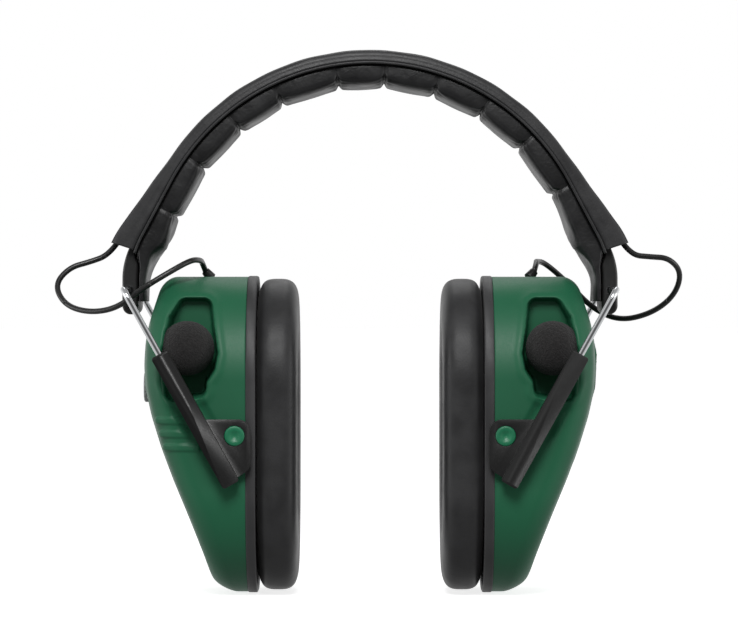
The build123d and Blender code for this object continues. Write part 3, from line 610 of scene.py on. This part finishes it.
jacket_along = np.linspace(-JACKET_END, JACKET_END, 420)
jacket_turn = np.linspace(0, 2 * np.pi, 160, endpoint=False)[None, :]
section_across, section_height = power(np.cos(jacket_turn), 0.16), power(np.sin(jacket_turn), 0.36)
along_grid = jacket_along[:, None] + 0 * section_across
outer = jacket_outer(along_grid)
middle, half = (outer + JACKET_IN) / 2, (outer - JACKET_IN) / 2
height = middle + half * section_height
share = (section_height + 1) / 2
edge, on_top = np.abs(section_across) > 0.9, section_height > 0.5
band = EDGE_BAND * (1 - smooth_step(0.0, 0.36, share))
groove = -EDGE_GROOVE * np.exp(-(((share - 0.40) / 0.05) ** 2))
lean_in = -EDGE_LEAN * smooth_step(0.45, 1.0, share)
across = JACKET_HALF_WIDTH - EDGE_BAND + (band + groove + lean_in) * edge
across = across * section_across
welt = WELT_HEIGHT * np.exp(-((across / WELT_HALF) ** 4))
stitch_line = STITCH_DEPTH * np.exp(-(((np.abs(across) - STITCH_AT) / 0.5) ** 2))
creases = CREASE_DEPTH * np.sin(along_grid / 2.6 + across / 3.0) * np.sin(along_grid / 11.0)
height = height + (welt - stitch_line + creases) * on_top
jacket = grid_piece("headband_jacket_welted", band_run(along_grid, height, across) * MM,
                    jacket_vinyl)
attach(jacket, "headband")
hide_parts("band_jacket")
print("jacket:", len(jacket.data.vertices), "points")

# %% Welded bead along each edge of the lining
BEAD_RADIUS = 0.5
bead_round = np.linspace(0, 2 * np.pi, 16, endpoint=False)
for name, where in (("front", -1), ("back", 1)):
    along_grid, round_grid = np.meshgrid(np.linspace(-JACKET_END - 1, JACKET_END + 1, 260),
                                         bead_round, indexing="ij")
    bead = band_run(along_grid, JACKET_IN + BEAD_RADIUS * np.sin(round_grid),
                    where * (JACKET_HALF_WIDTH - EDGE_BAND) + BEAD_RADIUS * np.cos(round_grid))
    piece = grid_piece("jacket_bead_" + name, bead * MM, jacket_vinyl)
    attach(piece, "headband")

# %% [markdown]
# A cup is deep at its top and tapers to its foot. Its wall follows the rounded outline of the ear
# plane straight out, turns over an edge radius, and closes with a face whose depth falls towards the
# foot. So each point is an outline place, a step inward and a depth, and the whole shell is one grid.

# %% Cup outline and depth
CUP_HALF_WIDTH = 41.0
CUP_TOP, CUP_FOOT = -67.3, -177.7
CUP_MIDDLE = (CUP_TOP + CUP_FOOT) / 2
CUP_HALF_HEIGHT = (CUP_TOP - CUP_FOOT) / 2
CUP_CORNER = 36.0
CUP_BASE = 42.6
DOME = 3.2                   # how much shallower the face is at the front and back edges
EDGE_TIGHTER = 1.9           # how much less the edge radius is at the top and the foot
DEPTH_HEIGHTS = [-178.0, -174.5, -170.0, -164.0, -150.0, -138.0, -127.0, -116.0, -106.0, -98.0,
                 -90.0, -83.0, -77.5, -73.0, -70.3, -68.6, -67.3]
DEPTH_REACH = [50.4, 54.2, 56.2, 58.4, 64.0, 69.0, 73.1, 76.5, 78.7, 79.1,
               78.6, 77.2, 75.4, 73.9, 73.1, 72.6, 72.2]


def outline(samples, half_width, half_height, corner, crowd=False):
    """Rounded rectangle by length round it, as (y, z) = corner's middle + radius * (cos a, sin a) and
    with the outward direction (cos a, sin a). Along a side the middle moves, round a corner a does.
    Crowding puts 2.7 times as many points on its front upper quarter."""
    flat_y, flat_z = half_width - corner, half_height - corner
    quarter = corner * np.pi / 2
    lengths = np.array([flat_z, quarter, 2 * flat_y, quarter, 2 * flat_z, quarter, 2 * flat_y,
                        quarter, flat_z])
    stops = np.concatenate([[0], np.cumsum(lengths)])
    weights = np.where(np.isin(np.arange(9), [3, 4]), 2.7, 1.0) if crowd else np.ones(9)
    weighed = np.concatenate([[0], np.cumsum(lengths * weights)])
    even = np.linspace(0, weighed[-1], samples, endpoint=False)
    place = np.interp(even, weighed, stops)
    angle = np.interp(place, stops, [0, 0, 1, 1, 2, 2, 3, 3, 4, 4]) * np.pi / 2
    corner_y = flat_y * np.interp(place, stops, [1, 1, 1, -1, -1, -1, -1, 1, 1, 1])
    corner_z = flat_z * np.interp(place, stops, [0, 1, 1, 1, 1, -1, -1, -1, -1, 0])
    out_y, out_z = np.cos(angle), np.sin(angle)
    return corner_y + corner * out_y, corner_z + corner * out_z, out_y, out_z


def cup_reach(z):
    """Sideways reach of the cup's outer face at a height: straight lines between the listed heights,
    smoothed by a weighted running mean."""
    fine = np.linspace(DEPTH_HEIGHTS[0], DEPTH_HEIGHTS[-1], 600)
    reach = np.interp(fine, DEPTH_HEIGHTS, DEPTH_REACH)
    soften = np.hanning(41)
    padded = np.pad(reach, 20, mode="edge")
    reach = np.convolve(padded, soften / soften.sum(), mode="valid")
    return np.interp(z, fine, reach)


# %% [markdown]
# The microphone sits in a pocket in the front wall. On the grid the pocket is a signed distance to
# its outline, a polygon with its corners rounded off. Inside it the wall falls back to the pocket's
# floor through a soft rim. A shallow groove under the arm leads on from the pocket's foot.

# %% Microphone pocket, arm groove and raised bars
MIC_X, MIC_Y, MIC_Z, MIC_RADIUS = 62.8, -32.5, -92.2, 9.4
POCKET_FLOOR = -22.6
POCKET_SKETCH = [(66.0, -82.6), (63.4, -78.0), (57.4, -78.0), (56.6, -86.0), (55.4, -94.0),
                 (56.2, -98.6), (58.8, -102.6), (59.2, -106.0), (67.0, -107.0), (68.4, -96.0)]
POCKET_ROUND = 3.0
LIP_HEIGHT, LIP_AWAY, LIP_WIDTH = 0.5, 1.7, 1.3
GROOVE_DEPTH = 1.3
BAR_MIDDLE, BAR_SLANT, BAR_HALF_LENGTH, BAR_HALF_HEIGHT = 67.0, 0.28, 6.4, 1.15
BAR_ROUND, BAR_RISE = 0.8, 0.5
BAR_HEIGHTS = (-117.0, -121.6, -126.2)


def box_distance(x, z, middle_x, middle_z, half_x, half_z, corner):
    """Signed distance to a rounded rectangle: negative inside, 0 on its rim."""
    over_x = np.abs(x - middle_x) - (half_x - corner)
    over_z = np.abs(z - middle_z) - (half_z - corner)
    outside = np.hypot(np.maximum(over_x, 0), np.maximum(over_z, 0))
    return outside + np.minimum(np.maximum(over_x, over_z), 0) - corner


def sketch_distance(x, z, sketch, corner):
    """Signed distance to a closed polygon grown by a corner radius: the nearest edge's distance,
    negative where the crossing number is odd."""
    nearest = np.full(np.shape(x), 1e9)
    inside = np.zeros(np.shape(x), bool)
    for (ax, az), (bx, bz) in zip(sketch, sketch[1:] + sketch[:1]):
        edge_x, edge_z = bx - ax, bz - az
        share = np.clip(((x - ax) * edge_x + (z - az) * edge_z) / (edge_x**2 + edge_z**2), 0, 1)
        nearest = np.minimum(nearest, np.hypot(x - ax - share * edge_x, z - az - share * edge_z))
        crosses = (az > z) != (bz > z)
        inside ^= crosses & (x < edge_x * (z - az) / (edge_z + 1e-9) + ax)
    return np.where(inside, -nearest, nearest) - corner


def shell_grid(inset, rows, edge_radius, columns=460):
    """The right cup's surface moved inward by inset, in millimetres: rows run up the wall, over the
    edge and across the outer face. Columns crowd together round the pocket."""
    wall_rows, edge_rows, face_rows = rows
    y, z, out_y, out_z = outline(columns, CUP_HALF_WIDTH - inset, CUP_HALF_HEIGHT - inset,
                                 CUP_CORNER - inset, crowd=True)
    rise = np.concatenate([np.linspace(0, 1, wall_rows), np.ones(edge_rows + face_rows)])
    turn = np.concatenate([np.zeros(wall_rows), np.linspace(0, np.pi / 2, edge_rows + 1)[1:],
                           np.full(face_rows, np.pi / 2)])
    inward = np.concatenate([np.zeros(wall_rows + edge_rows),
                             np.linspace(0, 1, face_rows + 1)[1:] ** 0.85])
    edge_radius = edge_radius - EDGE_TIGHTER * out_z**2
    step = edge_radius * (1 - np.cos(turn))[:, None]
    place_y = (y - step * out_y) * (1 - inward[:, None])
    place_z = (z - step * out_z) * (1 - inward[:, None])
    height = place_z + CUP_MIDDLE
    drop = edge_radius * (1 - np.sin(turn))[:, None]
    dome = DOME * (place_y / CUP_HALF_WIDTH) ** 2
    depth = np.maximum(cup_reach(height) - dome - inset - drop - CUP_BASE, 1.0)
    return CUP_BASE + depth * rise[:, None], place_y, height


def carve(x, y, z, wall):
    """Moves the front wall back inside the pocket, which is grown by the wall on the inner surface."""
    distance = sketch_distance(x, z, POCKET_SKETCH, POCKET_ROUND) - wall
    on_front = smooth_step(-12, -20, y)
    into = smooth_step(0.55, -1.0, distance) * on_front
    floor = POCKET_FLOOR + wall
    return y + into * np.maximum(floor - y, 0)


def dress_front(x, y, z, bars):
    """The outer surface's small features: a swollen lip round the pocket, the groove under the arm
    that dies away towards the pivot, and three bars on the cup's outer edge."""
    distance = sketch_distance(x, z, POCKET_SKETCH, POCKET_ROUND)
    on_front = smooth_step(-14, -24, y)
    lip = LIP_HEIGHT * np.exp(-(((distance - LIP_AWAY) / LIP_WIDTH) ** 2))
    from_pivot_x, from_pivot_z = x - PIVOT_X, z - PIVOT_Z
    beside = from_pivot_x * LEG_ACROSS[0] + from_pivot_z * LEG_ACROSS[1]
    down = -from_pivot_x * LEG_ACROSS[1] + from_pivot_z * LEG_ACROSS[0]
    groove = smooth_step(6.4, 3.4, beside) * smooth_step(-7.0, -4.0, beside)
    groove = groove * smooth_step(28, 36, down) * smooth_step(62, 50, down)
    y = y + (GROOVE_DEPTH * groove * smooth_step(-0.5, 1.5, distance) - lip) * on_front
    for bar_z in BAR_HEIGHTS if bars else ():
        middle = BAR_MIDDLE - BAR_SLANT * (BAR_HEIGHTS[0] - bar_z)
        near = box_distance(x, z, middle, bar_z, BAR_HALF_LENGTH, BAR_HALF_HEIGHT, BAR_ROUND)
        bar = BAR_RISE * smooth_step(0.35, -0.35, near) * (y < -22)
        x, y = x + bar * smooth_step(-40.8, -37.0, y), y - bar * smooth_step(-30.0, -38.0, y)
    return np.stack([x, y, z], -1)


# %% [markdown]
# The shell is hollow, so it is two such surfaces, the outer one and one moved in by the wall, that
# meet at the mouth. The pivot pins are short turned discs that stand out of the wall.

# %% Cup shells
LEAN = np.radians(29.0)
LEG_ACROSS = (-np.cos(LEAN), np.sin(LEAN))
SHELL_WALL, EDGE_RADIUS = 2.4, 7.0
TILT_X, TILT_Z, PIN_RADIUS, PIN_TIP = 46.2, -122.0, 3.5, 44.75
KNOB_Z, KNOB_RECESS, KNOB_FLOOR = -106.0, 5.75, 73.55


def shell_surface(bars, knob_seat):
    """Rows from the middle of the inner face out to the mouth, and back over the outer surface."""
    x, y, z = shell_grid(0.0, (62, 16, 30), EDGE_RADIUS)
    outer = dress_front(x, carve(x, y, z, 0.0), z, bars)
    x, y, z = shell_grid(SHELL_WALL, (40, 8, 16), EDGE_RADIUS - SHELL_WALL)
    if knob_seat:
        near_knob = smooth_step(KNOB_RECESS + 3.2, KNOB_RECESS + 2.2, np.hypot(y, z - KNOB_Z))
        x = x - near_knob * np.maximum(x - KNOB_FLOOR + SHELL_WALL, 0)
    inner = np.stack([x, carve(x, y, z, SHELL_WALL * 0.8), z], -1)
    return np.concatenate([inner[::-1], outer])


PIN_PROFILE = [(0.01, 39.2), (PIN_RADIUS, 39.2), (PIN_RADIUS, PIN_TIP - 0.5),
               (PIN_RADIUS - 0.15, PIN_TIP - 0.15), (PIN_RADIUS - 0.5, PIN_TIP),
               (1.7, PIN_TIP), (1.4, PIN_TIP - 0.3), (0.01, PIN_TIP - 0.45)]
for side_name, side in SIDES.items():
    left = side_name == "left"
    shell = grid_piece("cup_shell_moulded_" + side_name,
                       mirrored(shell_surface(left, left), side) * MM, green_abs, caps=False)
    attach(shell, "cup_" + side_name)
    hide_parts("cup_shell_" + side_name)
    for end_name, outward in (("front", -1), ("rear", 1)):
        pin = turned_along_y(PIN_PROFILE, TILT_X, TILT_Z, outward)
        piece = grid_piece(f"pivot_pin_{end_name}_{side_name}", mirrored(pin, side) * MM, green_pin,
                           caps=False)
        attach(piece, "cup_" + side_name)

# %% [markdown]
# A cushion is a ring of foam in a skin of soft vinyl, welded at its back. The skin swells between the
# weld and the opening, so its section is a plump squircle, a little fuller at the middle of each side
# and pulled in by shallow creases where it turns the tighter inner corners.

# %% Ear cushions
CUSHION_FACE, CUSHION_BACK = 25.0, 39.2
EAR_HALF_WIDTH, EAR_HALF_HEIGHT, EAR_CORNER = 20.0, 31.0, 18.0
CUSHION_INSET = 0.7
WELD_DEPTH, WELD_AWAY, WELD_WIDTH = 0.7, 1.0, 0.7


def cushion_grid(round_samples=420, section_samples=72):
    """Closed ring: for every section angle, a point between the outer and the inner outline."""
    outer_y, outer_z, _, _ = outline(round_samples, CUP_HALF_WIDTH - CUSHION_INSET,
                                     CUP_HALF_HEIGHT - CUSHION_INSET, CUP_CORNER - CUSHION_INSET)
    inner_y, inner_z, _, _ = outline(round_samples, EAR_HALF_WIDTH, EAR_HALF_HEIGHT, EAR_CORNER)
    turn = np.linspace(0, 2 * np.pi, section_samples, endpoint=False)[:, None]
    share = 0.5 + 0.5 * power(np.cos(turn), 0.55)
    lift = power(np.sin(turn), 0.62)
    around = np.linspace(0, 2 * np.pi, round_samples, endpoint=False)[None, :]
    crease = 0.10 * np.sin(around * 61) * np.exp(-((share / 0.18) ** 2))
    slow = 0.16 * np.sin(around * 5 + 1.1) + 0.10 * np.sin(around * 11)
    middle, half = (CUSHION_FACE + CUSHION_BACK) / 2, (CUSHION_BACK - CUSHION_FACE) / 2
    x = middle + half * lift + 0 * around
    weld = WELD_DEPTH * np.exp(-(((x - CUSHION_BACK + WELD_AWAY) / WELD_WIDTH) ** 2))
    outward = share - 0.016 * weld * (share > 0.5) + 0.004 * slow
    y = inner_y + (outer_y - inner_y) * outward + crease * np.sign(inner_y)
    z = inner_z + (outer_z - inner_z) * outward + crease * np.sign(inner_z)
    return np.stack([x, y, z + CUP_MIDDLE], -1)


for side_name, side in SIDES.items():
    cushion = grid_piece("ear_cushion_plump_" + side_name, mirrored(cushion_grid(), side) * MM,
                         cushion_vinyl, closed_rows=True)
    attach(cushion, "cup_" + side_name)
    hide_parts("ear_cushion_" + side_name, "cushion_foam_" + side_name)
print("cushions: 2")

# %% [markdown]
# The volume knob and the battery door sit in openings of the shell. Each opening is a block taken away
# from the finished shell, which a Boolean modifier does cleanly because both are closed meshes.

# %% Openings in the shells
DOOR_HALF_WIDTH, DOOR_TOP, DOOR_FOOT, DOOR_DEEP = 12.5, -90.2, -142.7, 6.0
HINGE_X, HINGE_Z, HINGE_BORE, HINGE_REACH = 66.32, -139.0, 1.2, 15.2
PAST_CUP = 90.0


def open_shell(side_name, block):
    """Takes a closed grid of points out of one cup's shell."""
    cutter = grid_piece("cutter", block * MM, green_abs, smooth=False)
    cut_away(bpy.data.objects["cup_shell_moulded_" + side_name], cutter)


# the door's block: its inner face follows the cup's outer face at a depth under it
block_z = np.linspace(DOOR_FOOT, DOOR_TOP, 40)
under, beyond = cup_reach(block_z) - DOOR_DEEP, np.full(40, PAST_CUP)
block_x = np.stack([under, under, beyond, beyond], 1)
block_y = np.tile([-DOOR_HALF_WIDTH, DOOR_HALF_WIDTH, DOOR_HALF_WIDTH, -DOOR_HALF_WIDTH], (40, 1))
open_shell("right", np.stack([block_x, block_y, np.repeat(block_z[:, None], 4, 1)], -1))
# room for the hinge pin, and the knob's round recess
hinge_bore = turned_along_y([(HINGE_BORE, -HINGE_REACH), (HINGE_BORE, HINGE_REACH)], HINGE_X,
                            HINGE_Z, 1, 32)
open_shell("right", hinge_bore)
recess = disc_stack([(KNOB_RECESS, 0), (KNOB_RECESS, 12)], 72)
open_shell("left", np.stack([-(KNOB_FLOOR + recess[..., 2]), recess[..., 0],
                             KNOB_Z + recess[..., 1]], -1))
rounded_copy("battery_door", green_abs, 0.3, "door")
rounded_copy("volume_knob", silver_abs, 0.15, "knob")

# %% [markdown]
# The windscreen is a ball cut from open-cell foam, so it is never quite round: a slow unevenness over
# the whole ball and a fine one from the torn cells move each point along its own direction.

# %% Windscreens
SLOW_WAVES, FINE_WAVES = 6, 20
SLOW_SHARE, FINE_SHARE = 0.006, 0.011   # of the ball's radius


def foam_ball(rows=150, columns=260):
    """Sphere with r = R (1 + a slow + b fine), both noises being means of sin(k u . w + phase) over
    fixed random waves w, with u the point's unit direction."""
    down = np.linspace(0.0, np.pi, rows)[:, None]
    around = np.linspace(0, 2 * np.pi, columns, endpoint=False)[None, :]
    unit = np.stack([np.sin(down) * np.cos(around), np.cos(down) + 0 * around,
                     np.sin(down) * np.sin(around)], -1)
    waves = np.random.default_rng(7).normal(size=(SLOW_WAVES + FINE_WAVES, 3))
    slow, fine = [sum(np.sin(unit @ wave * speed + k) for k, wave in enumerate(group)) / len(group)
                  for group, speed in ((waves[:SLOW_WAVES], 3.0), (waves[SLOW_WAVES:], 26.0))]
    radius = MIC_RADIUS * (1 + SLOW_SHARE * slow + FINE_SHARE * fine)
    return unit * radius[..., None] + np.array([MIC_X, MIC_Y, MIC_Z])


for side_name, side in SIDES.items():
    ball = grid_piece("mic_windscreen_cells_" + side_name, mirrored(foam_ball(), side) * MM,
                      windscreen_foam, caps=False)
    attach(ball, "cup_" + side_name)
    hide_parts("mic_windscreen_" + side_name)

# %% [markdown]
# The yoke is one length of sprung wire, bent twice. A tube is a circle that travels with its path: at
# each point two directions square to the path, n and b, carry it as r (n cos t + b sin t).


# %% Tubes
def tube_grid(path, radius, samples=20):
    """Circle carried along a path of points. Its normal turns as little as it can: the next one is
    n - t (t . n), the last normal less its part along the path, made one long again."""
    along = np.gradient(path, axis=0)
    along /= np.linalg.norm(along, axis=1, keepdims=True)
    normal = np.empty_like(along)
    first = np.cross(along[0], [0.0, 0.0, 1.0])
    if np.linalg.norm(first) < 0.1:
        first = np.cross(along[0], [0.0, 1.0, 0.0])
    normal[0] = first / np.linalg.norm(first)
    for k in range(1, len(path)):
        turned = normal[k - 1] - along[k] * (normal[k - 1] @ along[k])
        normal[k] = turned / np.linalg.norm(turned)
    other = np.cross(along, normal)
    turn = np.linspace(0, 2 * np.pi, samples, endpoint=False)
    ring = normal[:, None] * np.cos(turn)[None, :, None] + other[:, None] * np.sin(turn)[None, :, None]
    return path[:, None] + ring * np.broadcast_to(radius, (len(path),))[:, None, None]


LEG_DIRECTION = np.array([-np.sin(LEAN), 0, -np.cos(LEAN)])
HALF_SPAN, WIRE_RADIUS, WIRE_BEND, WIRE_LEG = 45.2, 1.1, 4.0, 72.0


def yoke_path():
    """Front leg, quarter bend, crossbar, quarter bend, rear leg."""
    pivot = np.array([PIVOT_X, 0, PIVOT_Z])
    bend = np.linspace(0, np.pi / 2, 14)
    leg = np.linspace(WIRE_LEG, WIRE_BEND, 30)[:-1]
    out = HALF_SPAN - WIRE_BEND
    leg_points = pivot + leg[:, None] * LEG_DIRECTION + np.array([0, -HALF_SPAN, 0])
    side_step = out + WIRE_BEND * np.cos(bend)
    down_step = WIRE_BEND * (1 - np.sin(bend))
    bend_points = pivot + down_step[:, None] * LEG_DIRECTION
    bend_points = bend_points - side_step[:, None] * np.array([0, 1, 0])
    half = np.concatenate([leg_points, bend_points])
    bar = pivot + np.linspace(-out, out, 30)[1:-1, None] * np.array([0, 1, 0])
    return np.concatenate([half, bar, (half * np.array([1, -1, 1]))[::-1]])


for side_name, side in SIDES.items():
    wire_run = mirrored(yoke_path(), side)
    wire = grid_piece("wire_yoke_drawn_" + side_name, tube_grid(wire_run, WIRE_RADIUS) * MM,
                      bright_wire)
    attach(wire, "yoke_" + side_name)
    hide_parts("wire_yoke_" + side_name)
print("yokes: 2")

# %% [markdown]
# Arms, seal plates, glands and the socket are plain mouldings, so their CAD shape with rounded
# edges is the finished shape. The pieces inside keep their CAD mesh and only take a finish.

# %% Mouldings and inner pieces
ARM_CHAMFER = 1.35


def chamfer_sleeve(piece, outward):
    """Cuts a wide chamfer along the two long outer edges of an arm's sleeve."""
    shape = bmesh.new()
    shape.from_mesh(piece.data)
    far = max(outward * vertex.co.y for vertex in shape.verts)
    edges = [edge for edge in shape.edges
             if edge.calc_length() > 30 * MM
             and all(outward * vertex.co.y > far - 0.3 * MM for vertex in edge.verts)]
    bmesh.ops.bevel(shape, geom=edges, offset=ARM_CHAMFER * MM, segments=1, affect="EDGES")
    shape.to_mesh(piece.data)
    shape.free()
    piece.data.shade_smooth()
    return len(edges)


for side_name in SIDES:
    for where, outward in (("front", -1), ("rear", 1)):
        arm = rounded_copy(f"arm_{where}_{side_name}", black_nylon, 0.3, "arms_" + side_name)
        print("arm edges chamfered:", chamfer_sleeve(arm, outward))
    rounded_copy("seal_plate_" + side_name, grey_nylon, 0.5, "cup_" + side_name)
    rounded_copy("cable_gland_" + side_name, cable_pvc, 0.2, "cup_" + side_name)
rounded_copy("audio_socket", black_nylon, 0.2, "cup_left")
INNER_FINISHES = {
    "acoustic_foam": liner_foam,
    "speaker_baffle": black_nylon,
    "speaker": speaker_steel,
    "cup_screws": screw_steel,
    "mic_capsule": contact_metal,
    "circuit_board": board_green,
    "potentiometer": speaker_steel,
    "battery_tray": black_nylon,
    "battery_contacts": contact_metal,
    "battery_cells": cell_wrap,
    "cable_in_band": cable_pvc,
}
for node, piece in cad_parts.items():
    name = node.removesuffix("_left").removesuffix("_right")
    if name in INNER_FINISHES:
        piece.data.materials.clear()
        piece.data.materials.append(INNER_FINISHES[name])

# %% [markdown]
# One cable joins the two cups. At each side it leaves the headband's mouth, makes a loop that gives it
# room for the fold and the slide, and goes into the cup's gland. The loop crosses three joints, so its
# one smooth line is cut into three lengths.

# %% Cable routes, in millimetres
CABLE_RADIUS = 1.0
ROUTES = {
    "left": [
        (-88.9, 0.0, -55.1), (-92.1, 0.0, -59.6), (-98.5, -0.5, -62.0), (-105.8, -2.0, -64.0),
        (-110.7, -6.0, -70.2), (-106.6, -11.0, -77.4), (-97.5, -17.0, -80.0),
        (-87.5, -22.5, -78.4), (-79.0, -25.5, -71.8), (-69.5, -24.5, -66.0),
        (-62.0, -20.0, -61.6), (-59.2, -12.0, -61.6), (-59.0, -4.0, -62.2), (-57.9, -1.2, -65.3),
    ],
    "right": [
        (88.9, 0.0, -55.1), (92.1, 0.0, -59.6), (98.5, 0.5, -60.2), (105.6, 1.5, -60.6),
        (110.4, 5.5, -65.8), (108.2, 11.5, -74.0), (100.5, 18.0, -80.2),
        (89.5, 23.5, -82.8), (80.0, 26.0, -78.4), (71.5, 25.6, -69.5), (62.5, 22.0, -61.8),
        (59.2, 15.0, -61.6), (59.0, 5.0, -62.0), (57.9, 1.2, -65.3),
    ],
}


def spline_points(name, route):
    """The points of one smooth NURBS line with the route as its control points."""
    curve = bpy.data.curves.new(name, "CURVE")
    curve.dimensions = "3D"
    spline = curve.splines.new("NURBS")
    spline.points.add(len(route) - 1)
    for point, place in zip(spline.points, route):
        point.co = (*np.array(place) * MM, 1.0)
    spline.order_u = 3
    spline.use_endpoint_u = True
    curve.resolution_u = 14
    holder = into_scene(name, curve)
    points = np.array([vertex.co for vertex in shown_mesh(holder).vertices])
    bpy.data.objects.remove(holder)
    return points


def cut_by_length(points, parts):
    """The line cut into lengths that share their ends, each with evenly spaced points."""
    steps = np.linalg.norm(np.diff(points, axis=0), axis=1)
    run = np.concatenate([[0], np.cumsum(steps)])
    cuts = np.linspace(0, run[-1], parts + 1)
    pieces = []
    for low, high in zip(cuts, cuts[1:]):
        at = np.linspace(low, high, 60)
        pieces.append(np.stack([np.interp(at, run, points[:, axis]) for axis in range(3)], 1))
    return pieces, run[-1]


# %% Cable loops
for side_name, side in SIDES.items():
    line = spline_points("cable_line_" + side_name, ROUTES[side_name])
    lengths, whole = cut_by_length(line, 3)
    chain = ["headband", "yoke_" + side_name, "arms_" + side_name, "cup_" + side_name]
    for part, (points, near, far) in enumerate(zip(lengths, chain, chain[1:]), 1):
        name = f"cable_length_{part}_{side_name}"
        cable = grid_piece(name, tube_grid(points, CABLE_RADIUS * MM, 18), cable_pvc)
        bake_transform(cable)
        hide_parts("cable_loop_" + side_name)
    print("cable loop", side_name, "length", round(whole / MM, 1), "mm")

# %% [markdown]
# The stage is one wide pale floor at the height of the cups' feet. It belongs to the studio.

# %% Floor
FLOOR_SIZE, FLOOR_GREY, FLOOR_GLOW, FLOOR_GAP = 40.0, 0.7, 0.8, 0.0002
floor_matt, floor_tree, floor_shader = finish_of("pale_studio_floor", 0.9)
floor_shader.inputs["Base Color"].default_value = (FLOOR_GREY, FLOOR_GREY, FLOOR_GREY, 1)
floor_shader.inputs["Emission Color"].default_value = (1, 1, 1, 1)
floor_shader.inputs["Emission Strength"].default_value = FLOOR_GLOW
floor_x, floor_y = np.meshgrid([-FLOOR_SIZE, FLOOR_SIZE], [-FLOOR_SIZE, FLOOR_SIZE])
floor_z = np.full(4, cad_box[0][2] - FLOOR_GAP)
floor_mesh = bpy.data.meshes.new("floor")
floor_mesh.from_pydata(np.stack([floor_x.ravel(), floor_y.ravel(), floor_z], 1).tolist(), [],
                       [(0, 1, 3, 2)])
floor_mesh.materials.append(floor_matt)
floor = into_scene("floor", floor_mesh)
floor.visible_diffuse = False
floor.visible_glossy = False
